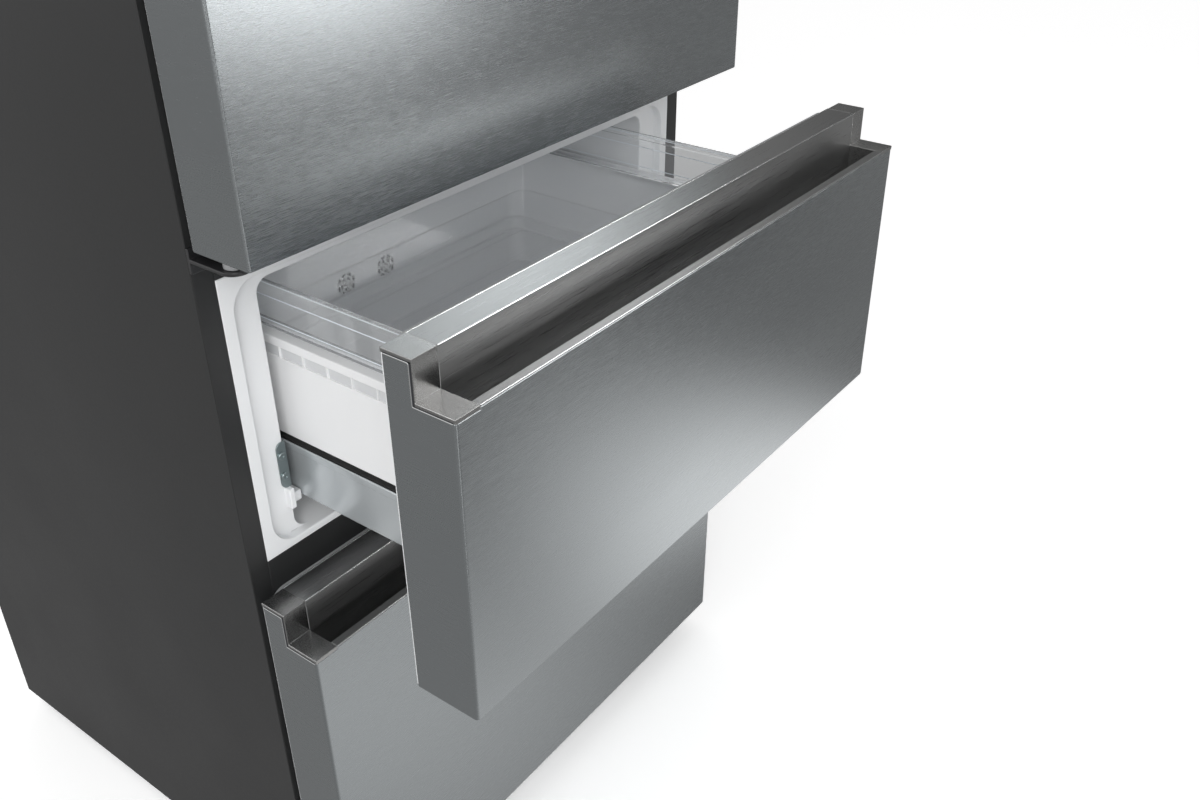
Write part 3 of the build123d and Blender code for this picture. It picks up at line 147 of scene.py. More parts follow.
class ShaderSheet(NodeSheet):
    """A shader tree, with short ways to the nodes that the finishes share."""

    def coordinates(self, output: str = "Object") -> Socket:
        """The piece's own coordinates or normal, in metres."""
        return self.add("ShaderNodeTexCoord").outputs[output]

    def vector(self, operation: str, first: Socket, second: Socket | Triple) -> Node:
        """A Vector Math node on two vectors."""
        return self.add("ShaderNodeVectorMath", {"operation": operation}, {0: first, 1: second})

    def scaled(self, vector: Socket, scale: Triple) -> Socket:
        """A vector times a scale on each axis."""
        return self.vector("MULTIPLY", vector, scale).outputs[0]

    def part(self, vector: Socket, axis: int) -> Socket:
        """One part of a vector."""
        return self.add("ShaderNodeSeparateXYZ", None, {0: vector}).outputs[axis]

    def math(self, operation: str, *values: float | Socket) -> Socket:
        """The result of a Math node on these values."""
        node = self.add("ShaderNodeMath", {"operation": operation}, dict(enumerate(values)))
        return node.outputs[0]

    def noise(self, vector: Socket, scale: float = 1.0, detail: float = 2.0,
              rough: float = 0.5) -> Socket:
        """Noise from 0 to 1, by its cells per unit, octaves and the strength of each next one."""
        values = {"Vector": vector, "Scale": scale, "Detail": detail, "Roughness": rough}
        return self.add("ShaderNodeTexNoise", None, values).outputs["Fac"]

    def cells(self, vector: Socket, scale: float, output: str, **options: str) -> Socket:
        """Cells per unit round regular or scattered points."""
        values = {"Vector": vector, "Scale": scale}
        return self.add("ShaderNodeTexVoronoi", options, values).outputs[output]

    def span(self, value: Socket, low: float, high: float, start: float = 0.25, end: float = 0.75,
             **options: str) -> Socket:
        """Map a value from the range of start and end to that of low and high."""
        values = {"Value": value, "From Min": start, "From Max": end, "To Min": low, "To Max": high}
        return self.add("ShaderNodeMapRange", options, values).outputs["Result"]

    def blend(self, factor: Socket, first: Socket | Triple, second: Socket | Triple) -> Socket:
        """A colour between two colours.

        Args:
            factor: The second colour's share.
            first: The first colour.
            second: The second colour.

        Returns:
            The colour's socket.
        """
        node = self.add("ShaderNodeMix", {"data_type": "RGBA"}, {"Factor": factor})
        for key, value in ((6, first), (7, second)):
            self.feed(node.inputs[key], value if isinstance(value, Socket) else (*value, 1.0))
        return node.outputs[2]

    def tones(self, factor: Socket, colour: Triple, first: float, second: float) -> Socket:
        """A colour between two shades of one colour."""
        return self.blend(factor, shade(colour, first), shade(colour, second))

    def gloss(self, slow: Socket, roughness: float, swing: float, fine: Socket,
              fine_swing: float) -> Socket:
        """A roughness that one noise moves slowly and another finely."""
        base = self.span(slow, roughness - swing, roughness + swing)
        return self.math("ADD", base, self.span(fine, -fine_swing, fine_swing))

    def bump(self, height: Socket, depth: float, strength: float = 1.0,
             under: Socket | None = None) -> Socket:
        """A normal from a height.

        Args:
            height: The height, from 0 to 1.
            depth: Its real depth in metres.
            strength: Share of its effect.
            under: The normal under it.

        Returns:
            The new normal.
        """
        values = {"Height": height, "Distance": depth, "Strength": strength}
        if under is not None:
            values["Normal"] = under
        return self.add("ShaderNodeBump", None, values).outputs["Normal"]

    def surface(self, passing: Triple | None = None, **values: float | Socket) -> None:
        """Finish the material with a surface shader.

        Args:
            passing: Colour of the lamp and diffuse light that a clear material lets through.
            values: The shader's inputs, with _ for each blank in their names.
        """
        inputs = {key.replace("_", " "): value for key, value in values.items()}
        shader = self.add("ShaderNodeBsdfPrincipled", None, inputs)
        if passing:
            path = self.add("ShaderNodeLightPath").outputs
            through = self.math("MAXIMUM", path["Is Shadow Ray"], path["Is Diffuse Ray"])
            open_air = self.add("ShaderNodeBsdfTransparent", None, {"Color": (*passing, 1.0)})
            shader = self.add("ShaderNodeMixShader", None, {
                0: through, 1: shader.outputs[0], 2: open_air.outputs[0]})
        self.add("ShaderNodeOutputMaterial", None, {"Surface": shader.outputs[0]})


def new_material(name: str) -> tuple[bpy.types.Material, ShaderSheet]:
    """A new material and its empty shader tree.

    Args:
        name: The material's name.

    Returns:
        The material and its sheet.
    """
    material = bpy.data.materials.new(name)
    material.use_nodes = True
    return material, ShaderSheet(material.node_tree)


def shade(colour: Triple, factor: float) -> Triple:
    """A colour made lighter or darker by a factor."""
    return tuple(min(1.0, part * factor) for part in colour)


# Finishes


@dataclass(frozen=True)
class Finish:
    """A surface finish that paints one material."""

    name: str
    colour: Triple

    def material(self) -> bpy.types.Material:
        """The finish's material, made on first use.

        Returns:
            The material.
        """
        found = bpy.data.materials.get(self.name)
        if found is None:
            found, sheet = new_material(self.name)
            self.paint(sheet)
        return found

    def paint(self, sheet: ShaderSheet) -> None:
        """Fill the material's sheet."""
        raise NotImplementedError


@dataclass(frozen=True)
class BrushedSteel(Finish):
    """Sheet steel with fine strokes along X, or along Y on the faces that look sideways."""

    roughness: float = 0.26
    spread: float = 0.3
    stroke: float = 20 * MM
    width: float = 0.6 * MM
    contrast: float = 0.07
    depth: float = 0.005 * MM
    side_share: float = 0.3
    side_limit: float = 0.75
    fineness: float = 2.7
    coarse_share: float = 0.7
    fine_share: float = 0.3
    stroke_swing: float = 0.05
    stroke_range: Pair = (0.32, 0.68)
    cloud_scale: Triple = (3.0, 3.0, 9.0)
    cloud_swing: Pair = (-0.02, 0.03)
    stroke_turn: float = 0.25

    def strokes(self, sheet: ShaderSheet, place: Socket) -> Socket:
        """Coarse and fine strokes, weaker on the faces that look sideways.

        Args:
            sheet: The material's sheet.
            place: The piece's coordinates.

        Returns:
            The strokes, from 0 to 1.
        """
        along, across = 1 / self.stroke, 1 / self.width
        front = sheet.scaled(place, (along, across, across))
        side = sheet.scaled(place, (across, along, across))
        facing = sheet.part(sheet.coordinates("Normal"), 0)
        sideways = sheet.math("GREATER_THAN", sheet.math("ABSOLUTE", facing), self.side_limit)
        chosen = sheet.add("ShaderNodeMix", {"data_type": "VECTOR"}, {
            "Factor": sideways, 4: front, 5: side}).outputs[1]
        coarse = sheet.noise(chosen, rough=0.6)
        fine = sheet.noise(sheet.scaled(chosen, (self.fineness,) * 3), detail=1.0)
        mixed = sheet.math("ADD", sheet.math("MULTIPLY", coarse, self.coarse_share),
                           sheet.math("MULTIPLY", fine, self.fine_share))
        strength = sheet.span(sideways, 1.0, self.side_share, 0.0, 1.0)
        return sheet.math("MULTIPLY_ADD", sheet.math("SUBTRACT", mixed, 0.5), strength, 0.5)

    def paint(self, sheet: ShaderSheet) -> None:
        """Strokes change the colour, the roughness and the height a little.

        Args:
            sheet: The material's sheet.
        """
        place = sheet.coordinates()
        strokes = self.strokes(sheet, place)
        clouds = sheet.noise(sheet.scaled(place, self.cloud_scale))
        tone = sheet.span(strokes, 0.0, 1.0, *self.stroke_range)
        low, high = self.cloud_swing
        base = sheet.span(clouds, self.roughness + low, self.roughness + high)
        fine = sheet.span(strokes, -self.stroke_swing, self.stroke_swing, *self.stroke_range)
        tangent = sheet.add("ShaderNodeTangent", {"direction_type": "UV_MAP", "uv_map": "metres"})
        sheet.surface(
            Base_Color=sheet.tones(tone, self.colour, 1 - self.contrast, 1 + self.contrast),
            Metallic=1.0, Roughness=sheet.math("ADD", base, fine), Anisotropic=self.spread,
            Anisotropic_Rotation=self.stroke_turn, Tangent=tangent.outputs[0],
            Normal=sheet.bump(strokes, self.depth),
        )


@dataclass(frozen=True)
class CastMetal(Finish):
    """Fine-grained cast or machined metal."""

    roughness: float = 0.28
    grain: float = 0.02 * MM
    grain_scale: float = 1600.0
    cloud_scale: float = 14.0
    tones: Pair = (0.94, 1.06)
    swing: float = 0.03

    def paint(self, sheet: ShaderSheet) -> None:
        """A fine isotropic grain with slow cloudiness.

        Args:
            sheet: The material's sheet.
        """
        place = sheet.coordinates()
        grain = sheet.noise(place, self.grain_scale)
        clouds = sheet.noise(place, self.cloud_scale)
        sheet.surface(
            Base_Color=sheet.tones(clouds, self.colour, *self.tones), Metallic=1.0,
            Roughness=sheet.gloss(clouds, self.roughness, self.swing, grain, self.swing),
            Normal=sheet.bump(grain, self.grain),
        )


@dataclass(frozen=True)
class ZincSheet(Finish):
    """Zinc-coated sheet with a faint crystal pattern and rolling marks."""

    roughness: float = 0.38
    crystals: float = 160.0
    bend_scale: float = 90.0
    bend: float = 4 * MM
    rolled_scale: Triple = (500.0, 60.0, 500.0)
    rolled_depth: float = 0.01 * MM
    tones: Pair = (0.86, 1.1)
    crystal_swing: Pair = (-0.08, 0.06)
    rolled_swing: float = 0.03

    def paint(self, sheet: ShaderSheet) -> None:
        """Crystals change the colour and the gloss from cell to cell.

        Args:
            sheet: The material's sheet.
        """
        place = sheet.coordinates()
        bends = sheet.add("ShaderNodeTexNoise", None, {"Vector": place, "Scale": self.bend_scale})
        moved = sheet.scaled(bends.outputs["Color"], (self.bend,) * 3)
        warped = sheet.vector("ADD", place, moved).outputs[0]
        tone = sheet.part(sheet.cells(warped, self.crystals, "Color"), 0)
        grain = sheet.noise(sheet.scaled(place, self.rolled_scale))
        low, high = self.crystal_swing
        base = sheet.span(tone, self.roughness + low, self.roughness + high, 0, 1)
        fine = sheet.span(grain, -self.rolled_swing, self.rolled_swing)
        sheet.surface(
            Base_Color=sheet.tones(tone, self.colour, *self.tones), Metallic=1.0,
            Roughness=sheet.math("ADD", base, fine), Normal=sheet.bump(grain, self.rolled_depth),
        )


@dataclass(frozen=True)
class SatinPaint(Finish):
    """Powder or coil coating with a fine orange peel."""

    roughness: float = 0.36
    metal: float = 0.0
    lacquer: float = 0.0
    peel: float = 0.03 * MM
    peel_scale: float = 420.0
    peel_swing: float = 0.02
    cloud_scale: float = 6.0
    cloud_swing: float = 0.04
    tones: Pair = (0.93, 1.07)
    lacquer_roughness: float = 0.12

    def paint(self, sheet: ShaderSheet) -> None:
        """A low orange peel and a little dust in the gloss.

        Args:
            sheet: The material's sheet.
        """
        place = sheet.coordinates()
        peel = sheet.noise(place, self.peel_scale)
        clouds = sheet.noise(place, self.cloud_scale, 3.0)
        sheet.surface(
            Base_Color=sheet.tones(clouds, self.colour, *self.tones), Metallic=self.metal,
            Coat_Weight=self.lacquer, Coat_Roughness=self.lacquer_roughness,
            Roughness=sheet.gloss(clouds, self.roughness, self.cloud_swing, peel, self.peel_swing),
            Normal=sheet.bump(peel, self.peel),
        )


@dataclass(frozen=True)
class MouldedPlastic(Finish):
    """Moulded plastic with the texture that its tool leaves."""

    roughness: float = 0.38
    texture: Texture = Texture.POLISHED
    grain_scale: float = 1400.0
    leather_scale: float = 700.0
    grain_swing: float = 0.03
    flow_scale: Triple = (5.0, 5.0, 2.0)
    flow_swing: float = 0.04
    tones: Pair = (0.97, 1.02)

    def paint(self, sheet: ShaderSheet) -> None:
        """Slow flow marks over the tool's texture.

        Args:
            sheet: The material's sheet.
        """
        place = sheet.coordinates()
        flow = sheet.noise(sheet.scaled(place, self.flow_scale), detail=3.0)
        if self.texture is Texture.LEATHERED:
            height = sheet.cells(place, self.leather_scale, "Distance", feature="SMOOTH_F1")
        else:
            height = sheet.noise(place, self.grain_scale)
        sheet.surface(
            Base_Color=sheet.tones(flow, self.colour, *self.tones),
            Roughness=sheet.gloss(flow, self.roughness, self.flow_swing, height, self.grain_swing),
            Normal=sheet.bump(height, self.texture.value * MM),
        )


@dataclass(frozen=True)
class ClearMoulding(Finish):
    """Clear moulded plastic that lets the light through, with fine dots on its level faces."""

    roughness: float = 0.04
    index: float = 1.46
    frost: float = 0.0
    wall_clearness: float = 1.0
    level_limit: float = 0.9
    pitch: float = 3.4 * MM
    dot_range: Pair = (0.1, 0.26)
    dot_depth: float = 0.03 * MM
    dot_strength: float = 0.4
    wave_scale: float = 14.0
    wave_depth: float = 0.05 * MM
    wave_strength: float = 0.1
    haze: float = 0.02
    tones: Pair = (1.0, 0.99)

    def paint(self, sheet: ShaderSheet) -> None:
        """Slight waves and a haze in the walls; dots and a light frost on the floor.

        Args:
            sheet: The material's sheet.
        """
        place = sheet.coordinates()
        waves = sheet.noise(place, self.wave_scale, 1.0)
        facing = sheet.part(sheet.coordinates("Normal"), 2)
        level = sheet.math("GREATER_THAN", sheet.math("ABSOLUTE", facing), self.level_limit)
        rows = sheet.add("ShaderNodeTexVoronoi", {"voronoi_dimensions": "2D"}, {
            "Vector": sheet.scaled(place, (1.0, 1.0, 0.0)), "Scale": 1 / self.pitch,
            "Randomness": 0.0})
        spots = sheet.span(rows.outputs["Distance"], 1.0, 0.0, *self.dot_range)
        dots = sheet.math("MULTIPLY", level, spots)
        lifted = sheet.bump(dots, self.dot_depth, self.dot_strength if self.frost else 0.0)
        mean_clearness = (1 + self.wall_clearness) / 2
        sheet.surface(
            self.colour, Base_Color=sheet.tones(waves, self.colour, *self.tones), IOR=self.index,
            Roughness=sheet.math("ADD", sheet.math("MULTIPLY", dots, self.frost),
                                 sheet.span(waves, self.roughness, self.roughness + self.haze)),
            Transmission_Weight=sheet.span(level, self.wall_clearness, mean_clearness, 0.0, 1.0),
            Normal=sheet.bump(waves, self.wave_depth, self.wave_strength, lifted),
        )


@dataclass(frozen=True)
class SheetGlass(Finish):
    """Toughened flat glass with faint smears, which lets the light through."""

    index: float = 1.52
    smear_scale: float = 18.0
    smear_gloss: float = 0.05
    tones: Pair = (1.0, 0.98)

    def paint(self, sheet: ShaderSheet) -> None:
        """Smears change the gloss a little."""
        smears = sheet.noise(sheet.coordinates(), self.smear_scale, 4.0, 0.6)
        sheet.surface(
            self.colour, Base_Color=sheet.tones(smears, self.colour, *self.tones), IOR=self.index,
            Roughness=sheet.span(smears, 0.0, self.smear_gloss), Transmission_Weight=1.0,
        )


@dataclass(frozen=True)
class SoftRubber(Finish):
    """Rubber or soft vinyl with a dusty, slightly uneven skin."""

    roughness: float = 0.6
    swing: float = 0.08
    dust_scale: float = 60.0
    skin_scale: float = 900.0
    skin_depth: float = 0.03 * MM
    tones: Pair = (0.9, 1.15)

    def paint(self, sheet: ShaderSheet) -> None:
        """Dust lightens the colour in patches.

        Args:
            sheet: The material's sheet.
        """
        place = sheet.coordinates()
        dust = sheet.noise(place, self.dust_scale, 3.0)
        skin = sheet.noise(place, self.skin_scale)
        sheet.surface(
            Base_Color=sheet.tones(dust, self.colour, *self.tones),
            Roughness=sheet.span(dust, self.roughness - self.swing, self.roughness + self.swing),
            Normal=sheet.bump(skin, self.skin_depth),
        )


@dataclass(frozen=True)
class RigidFoam(Finish):
    """Cut or moulded polyurethane foam with open cells."""

    roughness: float = 0.92
    cell_scale: float = 900.0
    cell_depth: float = 0.25 * MM
    lump_scale: float = 40.0
    lump_depth: float = 0.6 * MM
    tones: Pair = (0.85, 1.05)

    def paint(self, sheet: ShaderSheet) -> None:
        """Small cells in two sizes.

        Args:
            sheet: The material's sheet.
        """
        place = sheet.coordinates()
        cells = sheet.cells(place, self.cell_scale, "Distance")
        lumps = sheet.noise(place, self.lump_scale, 3.0)
        uneven = sheet.bump(lumps, self.lump_depth)
        sheet.surface(
            Base_Color=sheet.tones(lumps, self.colour, *self.tones), Roughness=self.roughness,
            Normal=sheet.bump(cells, self.cell_depth, 1.0, uneven),
        )


STAINLESS = BrushedSteel("stainless_front", (0.306, 0.324, 0.332))
TRIM = BrushedSteel("trim_strip", (0.31, 0.311, 0.31), roughness=0.3, spread=0.6, stroke=60 * MM,
                    width=0.5 * MM, contrast=0.02, depth=0.001 * MM)
CAST = CastMetal("cast_cap", (0.31, 0.309, 0.305), 0.27, grain=0.001 * MM)
# Lighter, glossier steel for rolled edges and beads: its gloss is real, its lighter colour paints a
# highlight on them.
POLISHED = CastMetal("edge_highlight_metal", (0.66, 0.67, 0.67), 0.14, grain=0.0)
CABINET = SatinPaint("cabinet_enamel", (0.013, 0.0132, 0.0135), 0.4)
FLANGE = SatinPaint("flange_paint", (0.015, 0.0155, 0.016), 0.4)
GALVANISED = ZincSheet("galvanised_sheet", (0.42, 0.43, 0.44), 0.4)
RAIL = CastMetal("rail_zinc", (0.30, 0.345, 0.35), 0.3, grain=0.008 * MM)
ZINC = CastMetal("zinc_plate", (0.55, 0.56, 0.56), 0.3)
BAR = SatinPaint("bar_lacquer", (0.5, 0.53, 0.545), 0.22, metal=0.45, lacquer=0.5, peel=0.006 * MM)
WHITE = MouldedPlastic("white_moulding", (0.78, 0.79, 0.8), 0.36)
BASKET = MouldedPlastic("basket_moulding", (0.80, 0.805, 0.81), 0.42)
# Darker grey of the basket's plastic, painted shade for the backs of the pockets under its rim.
POCKET_SHADE = MouldedPlastic("pocket_shade", (0.6, 0.61, 0.62), 0.42)
LENS = MouldedPlastic("lamp_lens", (0.9, 0.9, 0.88), 0.22)
BLACK = MouldedPlastic("black_moulding", (0.02, 0.02, 0.021), 0.42, Texture.SPARK)
# Near-black that paints the shade inside the vent slots and in the gaps beside the end caps.
SHADE_BLACK = MouldedPlastic("slot_shadow", (0.012, 0.013, 0.016), 0.6, Texture.SPARK)
GREY = MouldedPlastic("grey_moulding", (0.28, 0.285, 0.29), 0.45, Texture.LEATHERED)
GLOSS_BLACK = MouldedPlastic("gloss_black_panel", (0.012, 0.012, 0.013), 0.08)
CLEAR = ClearMoulding("clear_moulding", (0.97, 0.985, 0.99))
CLEAR_TRAY = ClearMoulding("clear_tray", (0.985, 0.993, 1.0), 0.0, frost=0.05, wall_clearness=0.9)
# Pale opaque plastic whose beads paint the bright highlight along the clear tray's rims.
TRAY_HIGHLIGHT = MouldedPlastic("tray_highlight_plastic", (0.80, 0.85, 0.9), 0.3)
GLASS = SheetGlass("toughened_glass", (0.88, 0.96, 0.93))
SEAL = SoftRubber("door_seal", (0.30, 0.305, 0.31), 0.55)
RUBBER = SoftRubber("black_rubber", (0.018, 0.018, 0.018), 0.65)
FOAM = RigidFoam("insulation_foam", (0.80, 0.70, 0.46))
BLACK_PAINT = SatinPaint("black_enamel", (0.014, 0.014, 0.015), 0.3, lacquer=0.3, peel=0.05 * MM)
FIN = CastMetal("fin_aluminium", (0.72, 0.73, 0.74), 0.3)


# Making and settling meshes


def new_piece(name: str, mesh: Mesh) -> Piece:
    """A new object for a mesh, in the scene.

    Args:
        name: The piece's name.
        mesh: Its mesh.

    Returns:
        The new piece.
    """
    piece = bpy.data.objects.new(name, mesh)
    bpy.context.scene.collection.objects.link(piece)
    return piece


@contextmanager
def opened(mesh: Mesh) -> Iterator[bmesh.types.BMesh]:
    """Open a mesh for edits and write them back.

    Args:
        mesh: The mesh.

    Yields:
        Its editable shell.
    """
    shell = bmesh.new()
    shell.from_mesh(mesh)
    yield shell
    shell.to_mesh(mesh)
    shell.free()


def settle(piece: Piece) -> None:
    """Turn a piece's modifiers into a plain mesh.

    Args:
        piece: The piece with live modifiers.
    """
    bpy.context.view_layer.update()
    graph = bpy.context.evaluated_depsgraph_get()
    mesh = bpy.data.meshes.new_from_object(
        piece.evaluated_get(graph), preserve_all_data_layers=True, depsgraph=graph)
    old = piece.data
    piece.modifiers.clear()
    piece.data = mesh
    if old.users == 0:
        bpy.data.meshes.remove(old)


def folded_area(mesh: Mesh) -> float:
    """How much area is covered twice, where faces overlap themselves.

    Args:
        mesh: The mesh.

    Returns:
        The area in square metres.
    """
    covered = [0.0] * len(mesh.polygons)
    mesh.calc_loop_triangles()
    for part in mesh.loop_triangles:
        covered[part.polygon_index] += part.area
    return sum(max(0.0, area - face.area) for area, face in zip(covered, mesh.polygons))


def round_edges(piece: Piece, edge: float, segments: int, limit: float) -> None:
    """Round a piece's sharp edges by one width.

    Args:
        piece: The piece.
        edge: Width of the rounding in metres, or 0 for none.
        segments: Faces across the rounding.
        limit: Angle in degrees above which an edge counts as sharp.
    """
    if edge > 0:
        bevel = piece.modifiers.new("edges", "BEVEL")
        bevel.width = edge
        bevel.segments = segments
        bevel.limit_method = "ANGLE"
        bevel.angle_limit = math.radians(limit)
        bevel.use_clamp_overlap = False
        bevel.harden_normals = True
    else:
        piece.data.set_sharp_from_angle(angle=math.radians(limit))
    piece.modifiers.new("flats", "WEIGHTED_NORMAL").keep_sharp = True
    settle(piece)


def soften(piece: Piece, edge: float, segments: int = 2, limit: float = 35.0) -> None:
    """Round a piece's sharp edges as far as its thin walls allow, and smooth its curved faces.

    Args:
        piece: The piece, in its final place.
        edge: Width of the rounding in metres, or 0 for none.
        segments: Faces across the rounding.
        limit: Angle in degrees above which an edge counts as sharp.
    """
    plain = piece.data
    plain.shade_smooth()
    for share in EDGE_SHARES:
        piece.data = plain.copy()
        round_edges(piece, edge * share, segments, limit)
        if edge == 0 or folded_area(piece.data) < MOST_FOLDED:
            break
    bpy.data.meshes.remove(plain)


def unwrap(piece: Piece) -> None:
    """Lay a box-projected map in metres on a piece, its first axis along the strokes.

    Args:
        piece: The piece, in its final place.
    """
    mesh = piece.data
    layer = mesh.uv_layers.get("metres") or mesh.uv_layers.new(name="metres")
    for face in mesh.polygons:
        size = [abs(part) for part in face.normal]
        first, second = ((1, 2), (0, 2), (0, 1))[size.index(max(size))]
        for corner in face.loop_indices:
            point = mesh.vertices[mesh.loops[corner].vertex_index].co
            layer.data[corner].uv = (point[first], point[second])


def merged_copy(node: str) -> Mesh:
    """A copy of a CAD node's mesh with its triangles joined and its flat faces made whole.

    Args:
        node: The node's name.

    Returns:
        The new mesh.
    """
    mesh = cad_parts[node].data.copy()
    mesh.materials.clear()
    with opened(mesh) as shell:
        bmesh.ops.remove_doubles(shell, verts=shell.verts, dist=WELD_DISTANCE)
        bmesh.ops.dissolve_limit(shell, angle_limit=FLAT_ANGLE, verts=shell.verts,
                                 edges=shell.edges, delimit={"NORMAL"})
    for name in ("custom_normal", "sharp_edge", "sharp_face"):
        if name in mesh.attributes:
            mesh.attributes.remove(mesh.attributes[name])
    return mesh


def heights(node: str) -> list[float]:
    """The levels at which a CAD node has points, from the lowest, to a tenth of a millimetre."""
    return sorted({round(vertex.co.z, 4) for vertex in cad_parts[node].data.vertices})


def from_faces(name: str, points: Iterable[Sequence[float]],
               faces: Iterable[Sequence[int]]) -> Piece:
    """A piece from points and faces, its normals turned outwards.

    Args:
        name: The piece's name.
        points: Its points in metres.
        faces: Its faces as indices.

    Returns:
        The new piece.
    """
    mesh = bpy.data.meshes.new(name)
    mesh.from_pydata([tuple(point) for point in points], [], [tuple(face) for face in faces])
    with opened(mesh) as shell:
        bmesh.ops.remove_doubles(shell, verts=shell.verts, dist=NEW_WELD_DISTANCE)
        bmesh.ops.recalc_face_normals(shell, faces=shell.faces)
    return new_piece(name, mesh)


def joined(name: str, pieces: Iterable[Piece]) -> Piece:
    """Several pieces made one.

    Args:
        name: The new piece's name.
        pieces: The pieces, which are used up.

    Returns:
        The new piece.
    """
    mesh = bpy.data.meshes.new(name)
    with opened(mesh) as shell:
        for piece in pieces:
            old = piece.data
            shell.from_mesh(old)
            bpy.data.objects.remove(piece)
            bpy.data.meshes.remove(old)
    return new_piece(name, mesh)


def millimetres(*points: Pair) -> list[Pair]:
    """Points given in millimetres, in metres."""
    return [(first * MM, second * MM) for first, second in points]


def oblong(left: float, right: float, bottom: float, top: float) -> list[Pair]:
    """The corners of a rectangle."""
    return [(left, bottom), (right, bottom), (right, top), (left, top)]


def circle(radius: float, steps: int) -> list[Pair]:
    """Points on a circle round the origin."""
    angles = [FULL_TURN * step / steps for step in range(steps)]
    return [(radius * math.cos(angle), radius * math.sin(angle)) for angle in angles]


def rounded_loop(half: float, low: float, high: float, radius: float, steps: int = 7) -> Loop:
    """A rounded rectangle centred on the middle plane.

    Args:
        half: Half its width.
        low: Its lower or front edge.
        high: Its upper or rear edge.
        radius: Radius of its corners.
        steps: Faces in each corner.

    Returns:
        Points and the outward direction at each.
    """
    loop = []
    for u, v, start in ((half, high, 0.0), (-half, high, 0.5), (-half, low, 1.0), (half, low, 1.5)):
        centre = (u - math.copysign(radius, u), v - math.copysign(radius, v - (low + high) / 2))
        for step in range(steps + 1):
            angle = math.pi * (start + 0.5 * step / steps)
            out = (math.cos(angle), math.sin(angle))
            loop.append(((centre[0] + radius * out[0], centre[1] + radius * out[1]), out))
    return loop


def swept(name: str, loop: Loop, profile: Sequence[Pair], plane: Plane, base: float) -> Piece:
    """A closed moulding: a profile swept round a loop.

    Args:
        name: The piece's name.
        loop: Points and outward directions, in the plane.
        profile: Points as (out from the loop, up from the base).
        plane: The plane that the loop lies in.
        base: The plane's place along its normal.

    Returns:
        The new piece.
    """
    points = []
    for (u, v), (nu, nv) in loop:
        for out, up in profile:
            a, b, c = u + out * nu, v + out * nv, base + up
            points.append((a, b, c) if plane is Plane.LEVEL else (a, c, b))
    count, width = len(loop), len(profile)
    faces = []
    for i in range(count):
        here, there = i * width, (i + 1) % count * width
        faces += [(here + j, here + (j + 1) % width, there + (j + 1) % width, there + j)
                  for j in range(width)]
    return from_faces(name, points, faces)


def prism(name: str, outline: Sequence[Pair], axis: int, start: float, end: float) -> Piece:
    """A straight bar with a closed outline.

    Args:
        name: The piece's name.
        outline: Its outline on the other two axes, in their order.
        axis: The axis that it runs along: 0, 1 or 2.
        start: One end.
        end: The other end.

    Returns:
        The new piece.
    """
    count = len(outline)
    points = [(*pair[:axis], place, *pair[axis:]) for place in (start, end) for pair in outline]
    faces = [tuple(range(count)), tuple(range(2 * count - 1, count - 1, -1))]
    faces += [(i, (i + 1) % count, count + (i + 1) % count, count + i) for i in range(count)]
    return from_faces(name, points, faces)


def turned(name: str, centre: Triple, profile: Sequence[Pair], steps: int) -> Piece:
    """A piece turned about an upright axis.

    Args:
        name: The piece's name.
        centre: The point that its profile starts from.
        profile: Points as (radius, height).
        steps: Faces round it.

    Returns:
        The new piece.
    """
    points = []
    for across, along in circle(1.0, steps):
        points += [(centre[0] + radius * across, centre[1] + radius * along, centre[2] + height)
                   for radius, height in profile]
    width = len(profile)
    faces = []
    for i in range(steps):
        here, there = i * width, (i + 1) % steps * width
        faces += [(here + j, here + j + 1, there + j + 1, there + j) for j in range(width - 1)]
    return from_faces(name, points, faces)


def eased(path: Sequence[Pair], radius: float, steps: int = 4) -> list[Pair]:
    """Round the inner corners of an open line.

    Args:
        path: Its points.
        radius: How far from a corner the rounding starts.
        steps: Pieces in each rounding.

    Returns:
        The new points.
    """
    line = [path[0]]
    for before, corner, after in zip(path, path[1:], path[2:]):
        at, start, end = Vector(corner), Vector(before), Vector(after)
        first = at + (start - at).normalized() * radius
        last = at + (end - at).normalized() * radius
        for step in range(steps + 1):
            share = step / steps
            point = first * (1 - share) ** 2 + at * 2 * share * (1 - share) + last * share ** 2
            line.append((point.x, point.y))
    return line + [path[-1]]


def piped(name: str, path: Sequence[Pair], place: float, radius: float, steps: int = 10) -> Piece:
    """A round bead along an open line in an upright plane that looks sideways.

    Args:
        name: The piece's name.
        path: The line's points as (Y, Z).
        place: The plane's place along X.
        radius: The bead's radius.
        steps: Faces round it.

    Returns:
        The new piece.
    """
    points = []
    for index, (y, z) in enumerate(path):
        before, after = Vector(path[max(index - 1, 0)]), Vector(path[min(index + 1, len(path) - 1)])
        along = (after - before).normalized()
        points += [(place + side, y - out * along.y, z + out * along.x)
                   for out, side in circle(radius, steps)]
    last = (len(path) - 1) * steps
    faces = [tuple(range(steps)), tuple(last + step for step in reversed(range(steps)))]
    for start in range(0, last, steps):
        for step in range(steps):
            a, b = start + step, start + (step + 1) % steps
            faces.append((a, b, b + steps, a + steps))
    return from_faces(name, points, faces)


# Geometry Nodes


